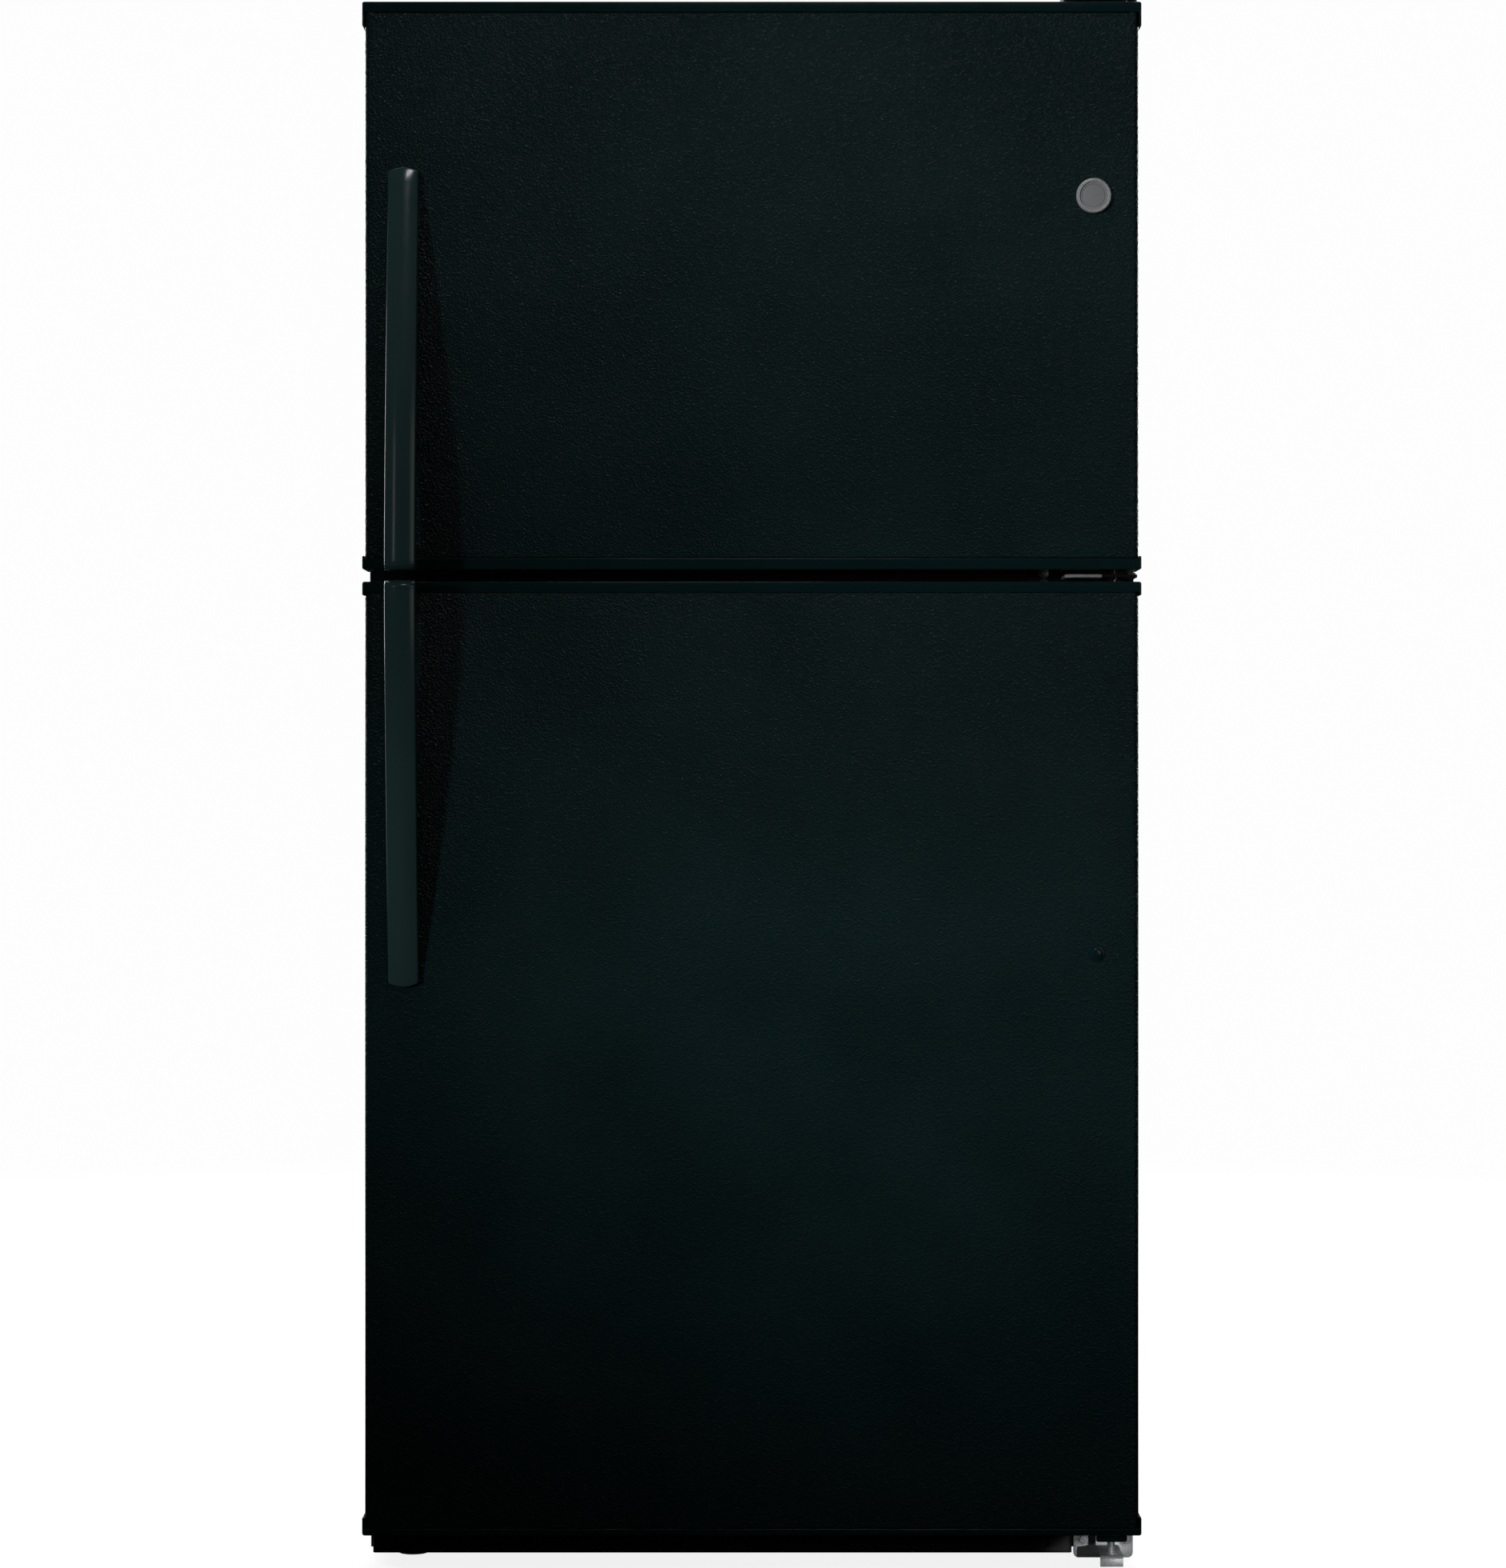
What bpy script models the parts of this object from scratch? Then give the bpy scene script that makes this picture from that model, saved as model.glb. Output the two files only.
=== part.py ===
"""A top freezer refrigerator, as an assembly of separate parts with real joints.

Metres, +Z up, the doors face -Y and +X is on the right seen from the front. The origin is
on the floor, under the middle of the overall box. Both doors hinge on the right.
"""
import math

import bmesh
import bpy
from mathutils import Matrix, Vector

# driving dimensions: the whole object
CASE_WIDTH = 0.832
CASE_HEIGHT = 1.680  # top of the case above the floor
CASE_DEPTH = 0.711
DOOR_DEPTH = 0.058
DOOR_SPACING = 0.013  # from the back of a closed door to the case: what the gasket fills
HANDLE_STANDOFF = 0.055
HANDLE_LENGTH = 0.434
FRIDGE_DOOR_BOTTOM = 0.039
FRIDGE_DOOR_TOP = 1.062
BETWEEN_DOORS = 0.013
FREEZER_DOOR_OVER_CASE = 0.004

# driving dimensions: walls, sheets and clearances
GAP = 0.0003  # between pieces that touch
SHEET = 0.001
DOOR_SHEET = 0.0008
LINER_WALL = 0.0015
LINER_RIM = 0.010
BACK_WALL = 0.055
GASKET_WIDTH = 0.016
DOOR_SIDE_INSET = 0.001
EAR_PROUD = 0.0028
EAR_THICKNESS = 0.0025
DOOR_EDGE_RADIUS = 0.006
DOOR_BACK_BEND = 0.003
SKIN_END_GAP = 0.0008
CAP_ROUNDING = 0.0009
PIN_RADIUS = 0.004
PIN_CLEARANCE = 0.0004
PIN_FROM_CASE_SIDE = 0.0295
PIN_BEHIND_DOOR_FRONT = 0.018
HINGE_LEAF = 0.003
DIKE_HEIGHT = 0.040
DIKE_WIDTH = 0.030
DIKE_CLEARANCE = 0.010
PAN_RISE = 0.004
BIN_DEPTH = 0.100
BIN_WALL = 0.002
WRAPPER_BOTTOM = 0.030
CHASSIS_TOP = 0.050
CHASSIS_BOTTOM = 0.014
CHASSIS_SHEET = 0.0015
MACHINE_DEPTH = 0.223  # machine compartment, measured from the back of the case
MACHINE_TOP = 0.285
HUMP_INSULATION = 0.045
WHEEL_RADIUS = 0.020
LEG_RADIUS = 0.005
SHELF_THICKNESS = 0.012
SHELF_SIDE_CLEARANCE = 0.002
LEDGE_WIDTH = 0.012
LEDGE_HEIGHT = 0.010
DRAWER_TRAVEL_SPACE = 0.078  # from the crisper fronts to the door bins when shut
DRAWER_HEIGHT = 0.205
HANDLE_WIDTH = 0.033
HANDLE_BAR = 0.016
HANDLE_TIP = 0.006
HANDLE_FOOT = 0.028
HANDLE_FROM_EDGE = 0.042  # handle's middle from the door's left side
HANDLE_RISE_POWER = 1.5
HANDLE_CORNER = 0.008
HANDLE_FOOT_CHAMFER = 0.006
HANDLE_ROUNDING = 0.004
BADGE_RADIUS = 0.019
BADGE_THICKNESS = 0.004
PLUG_RADIUS = 0.00825

# worked out: planes and lines that the pieces share
CASE_HALF = CASE_WIDTH / 2
BACK = (CASE_DEPTH + DOOR_SPACING + DOOR_DEPTH + HANDLE_STANDOFF) / 2
CASE_FRONT = BACK - CASE_DEPTH
DOOR_BACK = CASE_FRONT - DOOR_SPACING
DOOR_FRONT = DOOR_BACK - DOOR_DEPTH
DOOR_HALF = CASE_HALF - DOOR_SIDE_INSET
PIN_X = CASE_HALF - PIN_FROM_CASE_SIDE
PIN_Y = DOOR_FRONT + PIN_BEHIND_DOOR_FRONT
GASKET_OUT = PIN_X + 0.0035
FLANGE = CASE_HALF - GASKET_OUT + GASKET_WIDTH + 0.002
CAVITY_HALF = CASE_HALF - FLANGE - LINER_RIM
FREEZER_DOOR_BOTTOM = FRIDGE_DOOR_TOP + BETWEEN_DOORS
FREEZER_DOOR_TOP = CASE_HEIGHT + FREEZER_DOOR_OVER_CASE
GASKET_FROM_DOOR_END = 0.016
MULLION_LOW = FRIDGE_DOOR_TOP - GASKET_FROM_DOOR_END - GASKET_WIDTH - 0.004
MULLION_HIGH = FREEZER_DOOR_BOTTOM + GASKET_FROM_DOOR_END + GASKET_WIDTH + 0.004
FRIDGE_FLOOR = WRAPPER_BOTTOM + FLANGE + LINER_RIM
FRIDGE_CEILING = MULLION_LOW - LINER_RIM
FREEZER_FLOOR = MULLION_HIGH + LINER_RIM
FREEZER_CEILING = CASE_HEIGHT - FLANGE - LINER_RIM
CAVITY_BACK = BACK - BACK_WALL
MACHINE_FRONT = BACK - MACHINE_DEPTH
HUMP_FRONT = MACHINE_FRONT - HUMP_INSULATION
HUMP_TOP = MACHINE_TOP + HUMP_INSULATION
LINER_PLATE = DOOR_BACK - DOOR_SHEET - GAP
PAN = LINER_PLATE + PAN_RISE
BIN_FRONT = PAN + BIN_DEPTH
DRAWER_FRONT = BIN_FRONT + DRAWER_TRAVEL_SPACE
GAP_MIDDLE = FRIDGE_DOOR_TOP + BETWEEN_DOORS / 2
INNER_HALF = CASE_HALF - SHEET - GAP

MODEL = "top_freezer_refrigerator"
CUTTERS = "cutters"
ROUND_STEPS = 24
SMALL_STEPS = 16
HANDLE_STEPS = 14


# scene, materials and small helpers

def clear_scene():
    for thing in list(bpy.data.objects):
        bpy.data.objects.remove(thing)


def collection(name):
    if name not in bpy.data.collections:
        bpy.context.scene.collection.children.link(bpy.data.collections.new(name))
    return bpy.data.collections[name]


def look(name, colour, roughness, metallic=0.0):
    """One Principled material, made once and shared by the parts that ask for it."""
    if name in bpy.data.materials:
        return bpy.data.materials[name]
    made = bpy.data.materials.new(name)
    made.use_nodes = True
    shader = made.node_tree.nodes["Principled BSDF"]
    shader.inputs["Base Color"].default_value = (*colour, 1.0)
    shader.inputs["Roughness"].default_value = roughness
    shader.inputs["Metallic"].default_value = metallic
    made.diffuse_color = (*colour, 1.0)
    return made


def black_enamel():
    return look("black_enamel", (0.012, 0.016, 0.016), 0.45)


def black_gloss():
    return look("black_gloss_plastic", (0.010, 0.012, 0.012), 0.15)


def black_plastic():
    return look("black_plastic", (0.015, 0.015, 0.016), 0.5)


def white_liner():
    return look("white_liner", (0.78, 0.79, 0.79), 0.35)


def foam():
    return look("rigid_foam", (0.82, 0.72, 0.45), 0.9)


def zinc():
    return look("zinc_plate", (0.55, 0.56, 0.56), 0.4, 1.0)


def clear_plastic():
    return look("clear_plastic", (0.80, 0.86, 0.88), 0.1)


def dark_rubber():
    return look("dark_rubber", (0.03, 0.03, 0.03), 0.8)


def chrome():
    return look("bright_chrome", (0.8, 0.8, 0.8), 0.1, 1.0)


def aluminium():
    return look("bare_aluminium", (0.75, 0.76, 0.77), 0.35, 1.0)


def shelf_glass():
    return look("shelf_glass", (0.65, 0.78, 0.74), 0.05)


def pivot(name, place):
    """An empty on a joint's axis. What moves with the joint is parented to it."""
    empty = bpy.data.objects.new(name, None)
    empty.location = place
    empty.empty_display_size = 0.05
    collection(MODEL).objects.link(empty)
    return empty


def put(name, bm, material, origin=(0, 0, 0), parent=None):
    """Turn a bmesh in world places into an object whose origin is at `origin`."""
    bmesh.ops.translate(bm, verts=bm.verts, vec=-Vector(origin))
    mesh = bpy.data.meshes.new(name)
    bm.to_mesh(mesh)
    bm.free()
    made = bpy.data.objects.new(name, mesh)
    made.location = origin
    if material:
        mesh.materials.append(material)
        collection(MODEL).objects.link(made)
    else:
        collection(CUTTERS).objects.link(made)
        made.hide_render = True
        made.display_type = "WIRE"
    if parent:
        made.parent = parent
        made.matrix_parent_inverse = Matrix.Translation(-parent.location)
    return made


def add_box(bm, low, high):
    middle = [(a + b) / 2 for a, b in zip(low, high)]
    size = [b - a for a, b in zip(low, high)]
    where = Matrix.Translation(middle) @ Matrix.Diagonal((*size, 1.0))
    return bmesh.ops.create_cube(bm, size=1.0, matrix=where)["verts"]


def box_mesh(low, high):
    bm = bmesh.new()
    add_box(bm, low, high)
    return bm


def faces_facing(bm, direction):
    direction = Vector(direction)
    return [f for f in bm.faces if f.normal.dot(direction) > 0.99]


def middle_of(low, high):
    return tuple((a + b) / 2 for a, b in zip(low, high))


def orient(bm, pick, direction):
    """Turn an open surface so that the face with the lowest `pick` looks along `direction`."""
    bmesh.ops.recalc_face_normals(bm, faces=bm.faces)
    chosen = min(bm.faces, key=lambda f: pick(f.calc_center_median()))
    if chosen.normal.dot(Vector(direction)) < 0:
        bmesh.ops.reverse_faces(bm, faces=bm.faces)


def bevelled(piece, width, segments=2):
    step = piece.modifiers.new("rounding", "BEVEL")
    step.width = width
    step.segments = segments
    step.limit_method = "ANGLE"
    step.angle_limit = math.radians(40)
    return piece


def solid_wall(piece, thickness, side=-1):
    """Give an open surface its wall; side -1 puts it behind the faces."""
    step = piece.modifiers.new("wall", "SOLIDIFY")
    step.thickness = thickness
    step.offset = side
    step.use_even_offset = True
    step.use_quality_normals = True
    return piece


def boolean(piece, other, operation):
    step = piece.modifiers.new(operation.lower(), "BOOLEAN")
    step.operation = operation
    step.solver = "EXACT"
    step.object = other
    return piece


def cut_boxes(piece, boxes):
    """Cut several boxes that don't touch each other, with one cutter."""
    bm = bmesh.new()
    for low, high in boxes:
        add_box(bm, low, high)
    return boolean(piece, put(piece.name + "_cut", bm, None), "DIFFERENCE")


def join_boxes(piece, boxes):
    bm = bmesh.new()
    for low, high in boxes:
        add_box(bm, low, high)
    return boolean(piece, put(piece.name + "_add", bm, None), "UNION")


def block(name, low, high, material, rounding=0.0, parent=None):
    made = put(name, box_mesh(low, high), material, middle_of(low, high), parent)
    if rounding:
        bevelled(made, rounding)
    return made


AXIS_TURNS = {
    "X": Matrix.Rotation(math.radians(90), 4, "Y"),
    "Y": Matrix.Rotation(math.radians(-90), 4, "X"),
    "Z": Matrix.Identity(4),
    "-Y": Matrix.Rotation(math.radians(90), 4, "X"),
}


def cylinder_mesh(place, radius, length, axis, steps=ROUND_STEPS):
    """A cylinder centred on `place`, along the named axis."""
    bm = bmesh.new()
    where = Matrix.Translation(place) @ AXIS_TURNS[axis]
    bmesh.ops.create_cone(bm, cap_ends=True, segments=steps, radius1=radius, radius2=radius,
                          depth=length, matrix=where)
    return bm


def drill(piece, place, radius, length, axis, steps=ROUND_STEPS):
    bm = cylinder_mesh(place, radius, length, axis, steps)
    return boolean(piece, put(piece.name + "_hole", bm, None), "DIFFERENCE")


def add_pin(piece, place, radius, length, axis, steps=SMALL_STEPS):
    bm = cylinder_mesh(place, radius, length, axis, steps)
    return boolean(piece, put(piece.name + "_pin", bm, None), "UNION")


def turned(name, profile, material, place, axis="Z", steps=ROUND_STEPS, parent=None):
    """Turn a profile of (radius, height) points, top to bottom, about an axis."""
    bm = bmesh.new()
    points = [bm.verts.new((radius, 0, height)) for radius, height in profile]
    for first, second in zip(points, points[1:]):
        bm.edges.new((first, second))
    made = put(name, bm, material, (0, 0, 0), parent)
    screw = made.modifiers.new("turning", "SCREW")
    screw.steps = steps
    screw.render_steps = steps
    screw.use_merge_vertices = True
    screw.merge_threshold = 0.00001
    made.location = place
    made.rotation_euler = AXIS_TURNS[axis].to_euler()
    return made


def extruded(name, outline, plane, start, end, material, origin=(0, 0, 0), parent=None):
    """Extrude a closed outline. plane 'YZ' runs along X, 'XZ' along Y, 'XY' along Z."""
    lift = {
        "YZ": lambda a, b, along: (along, a, b),
        "XZ": lambda a, b, along: (a, along, b),
        "XY": lambda a, b, along: (a, b, along),
    }[plane]
    bm = bmesh.new()
    face = bm.faces.new([bm.verts.new(lift(a, b, start)) for a, b in outline])
    grown = bmesh.ops.extrude_face_region(bm, geom=[face])
    moved = [g for g in grown["geom"] if isinstance(g, bmesh.types.BMVert)]
    bmesh.ops.translate(bm, verts=moved, vec=Vector(lift(0, 0, end)) - Vector(lift(0, 0, start)))
    bmesh.ops.recalc_face_normals(bm, faces=bm.faces)
    return put(name, bm, material, origin, parent)


def strip(name, path, plane, span, wall, pick, looks, material, parent=None, outside=False):
    """A folded sheet: an open path run along one axis, given a wall.

    The face with the lowest `pick` looks along `looks`, which turns the whole sheet. The wall
    grows behind the faces, or in front of them when `outside` is set.
    """
    start, end = span
    lift = {
        "YZ": lambda a, b, along: (along, a, b),
        "XY": lambda a, b, along: (a, b, along),
    }[plane]
    bm = bmesh.new()
    points = [bm.verts.new(lift(a, b, start)) for a, b in path]
    edges = [bm.edges.new(pair) for pair in zip(points, points[1:])]
    grown = bmesh.ops.extrude_edge_only(bm, edges=edges)
    moved = [g for g in grown["geom"] if isinstance(g, bmesh.types.BMVert)]
    bmesh.ops.translate(bm, verts=moved, vec=Vector(lift(0, 0, end)) - Vector(lift(0, 0, start)))
    orient(bm, pick, looks)
    return solid_wall(put(name, bm, material, (0, 0, 0), parent), wall, 1 if outside else -1)


def highest(place):
    return -place.z


def foremost(place):
    return place.y


def arc(centre, radius, first, last, steps):
    """Points of an arc, from one angle in degrees to another."""
    turns = [math.radians(first + (last - first) * i / steps) for i in range(steps + 1)]
    return [(centre[0] + radius * math.cos(t), centre[1] + radius * math.sin(t)) for t in turns]


def tube_from_points(name, points, radius, material):
    curve = bpy.data.curves.new(name, "CURVE")
    curve.dimensions = "3D"
    curve.bevel_depth = radius
    curve.bevel_resolution = 2
    curve.use_fill_caps = True
    spline = curve.splines.new("POLY")
    spline.points.add(len(points) - 1)
    for point, place in zip(spline.points, points):
        point.co = (*place, 1.0)
    curve.materials.append(material)
    made = bpy.data.objects.new(name, curve)
    collection(MODEL).objects.link(made)
    return made


def serpentine(low, high, passes, y_level, bend_steps=4):
    """Straight runs along X joined by half-round bends, climbing in Z."""
    rise = (high[1] - low[1]) / (passes - 1)
    bend = rise / 2
    left, right = low[0] + bend, high[0] - bend
    points = []
    for i in range(passes):
        z = low[1] + i * rise
        ends = (left, right) if i % 2 == 0 else (right, left)
        points += [(ends[0], z), (ends[1], z)]
        if i < passes - 1:
            outward = 1 if i % 2 == 0 else -1
            turn = arc((ends[1], z + bend), bend, -90, 90, bend_steps)[1:-1]
            points += [(ends[1] + outward * (a - ends[1]), b) for a, b in turn]
    return [(a, y_level, b) for a, b in points]


# the case

def cabinet_wrapper():
    """Folded steel wrapper: two sides, top, and a flange round the front opening."""
    low = (-CASE_HALF, CASE_FRONT, WRAPPER_BOTTOM)
    high = (CASE_HALF, BACK, CASE_HEIGHT)
    bm = box_mesh(low, high)
    bmesh.ops.delete(bm, geom=faces_facing(bm, (0, 1, 0)) + faces_facing(bm, (0, 0, -1)),
                     context="FACES")
    front = faces_facing(bm, (0, -1, 0))
    bmesh.ops.inset_region(bm, faces=front, thickness=FLANGE, use_boundary=True)
    bmesh.ops.delete(bm, geom=front, context="FACES")
    return solid_wall(put("cabinet_wrapper", bm, black_enamel()), SHEET)


PANEL_EMBOSS = 0.004
MACHINE_COVER_INSET = 0.009


def cabinet_back_panel():
    bottom = MACHINE_TOP + 0.001
    low = (-INNER_HALF, BACK - SHEET, bottom)
    high = (INNER_HALF, BACK, CASE_HEIGHT - SHEET - GAP)
    bm = box_mesh(low, high)
    keep = faces_facing(bm, (0, 1, 0))
    bmesh.ops.delete(bm, geom=[f for f in bm.faces if f not in keep], context="FACES")
    bmesh.ops.inset_region(bm, faces=keep, thickness=0.050, use_boundary=True)
    bmesh.ops.inset_region(bm, faces=keep, thickness=0.008, depth=-PANEL_EMBOSS)
    return solid_wall(put("cabinet_back_panel", bm, zinc()), SHEET)


def cavity_outline(floor, ceiling, hump, grow=0.0, front=CASE_FRONT):
    """Side outline of a cavity in (y, z), grown outwards by `grow`."""
    back = CAVITY_BACK + grow
    if not hump:
        return [(front, floor - grow), (back, floor - grow), (back, ceiling + grow),
                (front, ceiling + grow)]
    step, top = HUMP_FRONT + grow, HUMP_TOP - grow
    return [(front, floor - grow), (step, floor - grow), (step, top), (back, top),
            (back, ceiling + grow), (front, ceiling + grow)]


def case_liner(name, floor, ceiling, hump):
    """A moulded liner: walls round the cavity, and a rim at the front."""
    outline = cavity_outline(floor, ceiling, hump)
    made = extruded(name, outline, "YZ", -CAVITY_HALF, CAVITY_HALF, white_liner())
    bm = bmesh.new()
    bm.from_mesh(made.data)
    bmesh.ops.delete(bm, geom=faces_facing(bm, (0, -1, 0)), context="FACES_ONLY")
    rim_edges = [e for e in bm.edges if e.is_boundary]
    grown = bmesh.ops.extrude_edge_only(bm, edges=rim_edges)
    middle = (floor + ceiling) / 2
    rim = LINER_RIM - GAP
    for vert in [g for g in grown["geom"] if isinstance(g, bmesh.types.BMVert)]:
        vert.co.x += math.copysign(rim, vert.co.x)
        vert.co.z += math.copysign(rim, vert.co.z - middle)
    orient(bm, foremost, (0, -1, 0))
    bm.to_mesh(made.data)
    bm.free()
    return solid_wall(made, LINER_WALL)


FREEZER_SHELF_LEVEL = FREEZER_FLOOR + 0.245
FRIDGE_SHELF_LEVELS = (0.545, 0.765)
SHELF_OVER_HUMP = 0.004
DRAWER_HEADROOM = 0.004
DRAWER_FLOOR = FRIDGE_FLOOR + 0.002
CRISPER_COVER_LEVEL = max(HUMP_TOP + SHELF_OVER_HUMP,
                          DRAWER_FLOOR + DRAWER_HEIGHT + DRAWER_HEADROOM + LEDGE_HEIGHT)
SHELF_FRONT = BIN_FRONT + 0.030
LEDGE_SETBACK = 0.020  # from a shelf's front edge
EVAPORATOR_DEPTH = 0.060
EVAPORATOR_COVER = CAVITY_BACK - EVAPORATOR_DEPTH
SHELF_BACK = EVAPORATOR_COVER - 0.008
FRIDGE_SHELF_BACK = CAVITY_BACK - 0.010


def ledges(level, back):
    """A pair of rails on the side walls, under a shelf whose underside is at `level`."""
    into_wall = LINER_WALL / 2
    boxes = []
    for side in (-1, 1):
        ends = sorted((side * (CAVITY_HALF + into_wall), side * (CAVITY_HALF - LEDGE_WIDTH)))
        boxes.append(((ends[0], SHELF_FRONT + LEDGE_SETBACK, level - LEDGE_HEIGHT),
                      (ends[1], back, level)))
    return boxes


def liners():
    freezer = case_liner("freezer_liner", FREEZER_FLOOR, FREEZER_CEILING, False)
    join_boxes(freezer, ledges(FREEZER_SHELF_LEVEL, SHELF_BACK))
    fridge = case_liner("fridge_liner", FRIDGE_FLOOR, FRIDGE_CEILING, True)
    boxes = []
    for level in FRIDGE_SHELF_LEVELS:
        boxes += ledges(level, FRIDGE_SHELF_BACK - LEDGE_SETBACK / 2)
    boxes += ledges(CRISPER_COVER_LEVEL, HUMP_FRONT - LEDGE_SETBACK)
    join_boxes(fridge, boxes)


MULLION_DEPTH = 0.020
PLUNGER_X = -0.250
PLUNGER_Z = FRIDGE_DOOR_TOP - 0.006
PLUNGER_RADIUS = 0.0035
PLUNGER_LENGTH = 0.030
PLUNGER_FROM_CAP = 0.0008


def center_mullion():
    """Steel channel across the case, between the two openings."""
    half = CAVITY_HALF + LINER_RIM - GAP
    bm = box_mesh((-half, CASE_FRONT, MULLION_LOW), (half, CASE_FRONT + MULLION_DEPTH, MULLION_HIGH))
    bmesh.ops.delete(bm, geom=faces_facing(bm, (0, 1, 0)), context="FACES")
    made = solid_wall(put("center_mullion", bm, black_enamel()), SHEET)
    return drill(made, (PLUNGER_X, CASE_FRONT, PLUNGER_Z), PLUNGER_RADIUS + 2 * PIN_CLEARANCE,
                 0.01, "Y", SMALL_STEPS)


def cabinet_insulation():
    """One block of foam between the wrapper, the liners and the machine compartment."""
    front = CASE_FRONT + SHEET + GAP
    clear = LINER_WALL + GAP
    ahead = CASE_FRONT - 0.02
    made = block("cabinet_insulation", (-INNER_HALF, front, CHASSIS_TOP + GAP),
                 (INNER_HALF, BACK - SHEET - PANEL_EMBOSS - 2 * GAP, CASE_HEIGHT - SHEET - GAP), foam())
    for label, floor, ceiling, hump in (("freezer", FREEZER_FLOOR, FREEZER_CEILING, False),
                                        ("fridge", FRIDGE_FLOOR, FRIDGE_CEILING, True)):
        outline = cavity_outline(floor, ceiling, hump, clear, ahead)
        reach = CAVITY_HALF + clear
        boolean(made, extruded(label + "_space", outline, "YZ", -reach, reach, None), "DIFFERENCE")
    rim = LINER_RIM + GAP
    half = CAVITY_HALF + rim
    cut_boxes(made, [((-half, ahead, FRIDGE_FLOOR - rim),
                      (half, CASE_FRONT + LINER_WALL + GAP, FREEZER_CEILING + rim))])
    cut_boxes(made, [((-half, ahead, MULLION_LOW - GAP),
                      (half, CASE_FRONT + MULLION_DEPTH + GAP, MULLION_HIGH + GAP))])
    cut_boxes(made, [((-CASE_HALF, MACHINE_FRONT, 0.0), (CASE_HALF, BACK + 0.01, MACHINE_TOP))])
    return made


# the base and what the object stands on

LEG_X = CASE_HALF - 0.044
LEG_Y = CASE_FRONT + 0.045
LEG_PLATE_LEVEL = 0.030
LEG_PLATE_REACH = 0.030
LEG_PLATE = 0.003
WHEEL_X = CASE_HALF - 0.022
WHEEL_WIDTH = 0.022
WHEEL_Y = BACK - 0.065
AXLE_RADIUS = 0.004
CHEEK_GAP = 0.005  # from the wheel to its cheek
CHEEK_SHEET = 0.003
CHEEK_HALF = 0.016
CHEEK_BOTTOM = 0.011
COVER_SHEET_CLEARANCE = 0.003


def base_chassis():
    """Pressed steel tray under the case, open below, with leg plates and wheel brackets."""
    front = CASE_FRONT + SHEET + GAP
    back = BACK - MACHINE_COVER_INSET - COVER_SHEET_CLEARANCE
    bm = box_mesh((-INNER_HALF, front, CHASSIS_BOTTOM), (INNER_HALF, back, CHASSIS_TOP))
    bmesh.ops.delete(bm, geom=faces_facing(bm, (0, 0, -1)), context="FACES")
    made = solid_wall(put("base_chassis", bm, zinc()), CHASSIS_SHEET)
    into = CHASSIS_SHEET / 2
    inner = INNER_HALF - CHASSIS_SHEET + into
    top = CHASSIS_TOP - CHASSIS_SHEET + into
    boxes = []
    cheek_outer = WHEEL_X - WHEEL_WIDTH / 2 - CHEEK_GAP
    for side in (-1, 1):
        plate = sorted((side * (LEG_X - LEG_PLATE_REACH), side * inner))
        boxes.append(((plate[0], front + into, LEG_PLATE_LEVEL),
                      (plate[1], LEG_Y + LEG_PLATE_REACH, LEG_PLATE_LEVEL + LEG_PLATE)))
        cheek = sorted((side * (cheek_outer - CHEEK_SHEET), side * cheek_outer))
        boxes.append(((cheek[0], WHEEL_Y - CHEEK_HALF, CHEEK_BOTTOM), (cheek[1], WHEEL_Y + CHEEK_HALF, top)))
    join_boxes(made, boxes)
    for side in (-1, 1):
        start = cheek_outer - CHEEK_SHEET / 2
        length = INNER_HALF - into - start
        add_pin(made, (side * (start + length / 2), WHEEL_Y, WHEEL_RADIUS), AXLE_RADIUS, length, "X")
        drill(made, (side * LEG_X, LEG_Y, LEG_PLATE_LEVEL), LEG_RADIUS + PIN_CLEARANCE, 0.02, "Z",
              SMALL_STEPS)
    return made


def rear_wheels():
    """Two wheels that turn on the stub axles of the chassis."""
    bore = AXLE_RADIUS + PIN_CLEARANCE
    half = WHEEL_WIDTH / 2
    chamfer = 0.003
    for side, label in ((-1, "left"), (1, "right")):
        profile = [(bore, half), (WHEEL_RADIUS - chamfer, half), (WHEEL_RADIUS, half - chamfer),
                   (WHEEL_RADIUS, chamfer - half), (WHEEL_RADIUS - chamfer, -half), (bore, -half),
                   (bore, half)]
        turned("rear_roller_" + label, profile, black_plastic(), (side * WHEEL_X, WHEEL_Y, WHEEL_RADIUS),
               "X", ROUND_STEPS)


def leveling_legs():
    """Screw legs under the front corners: a foot and a stem in one."""
    stem_top = CHASSIS_TOP - CHASSIS_SHEET - 0.003
    for side, label in ((-1, "left"), (1, "right")):
        profile = [(0.0, stem_top), (LEG_RADIUS - 0.001, stem_top), (LEG_RADIUS, stem_top - 0.001),
                   (LEG_RADIUS, 0.014), (0.009, 0.012), (0.017, 0.009), (0.017, 0.001), (0.016, 0.0),
                   (0.0, 0.0)]
        turned("leveling_leg_" + label, profile, zinc(), (side * LEG_X, LEG_Y, 0.0), "Z", SMALL_STEPS)


GRILLE_LOW = 0.009
GRILLE_HIGH = 0.036
GRILLE_FROM_SIDE = 0.004
GRILLE_PROUD = 0.009
GRILLE_WALL = 0.002
GRILLE_HINGE_GAP = 0.002
GRILLE_SLOTS = 9
GRILLE_SLOT_HEIGHT = 0.005
GRILLE_SLOT_BAR = 0.003  # between the two rows of slots
GRILLE_END = 0.020
GRILLE_RIB = 0.008
BOTTOM_HINGE_INBOARD = 0.0365  # from the pin to the bracket's inner end


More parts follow.
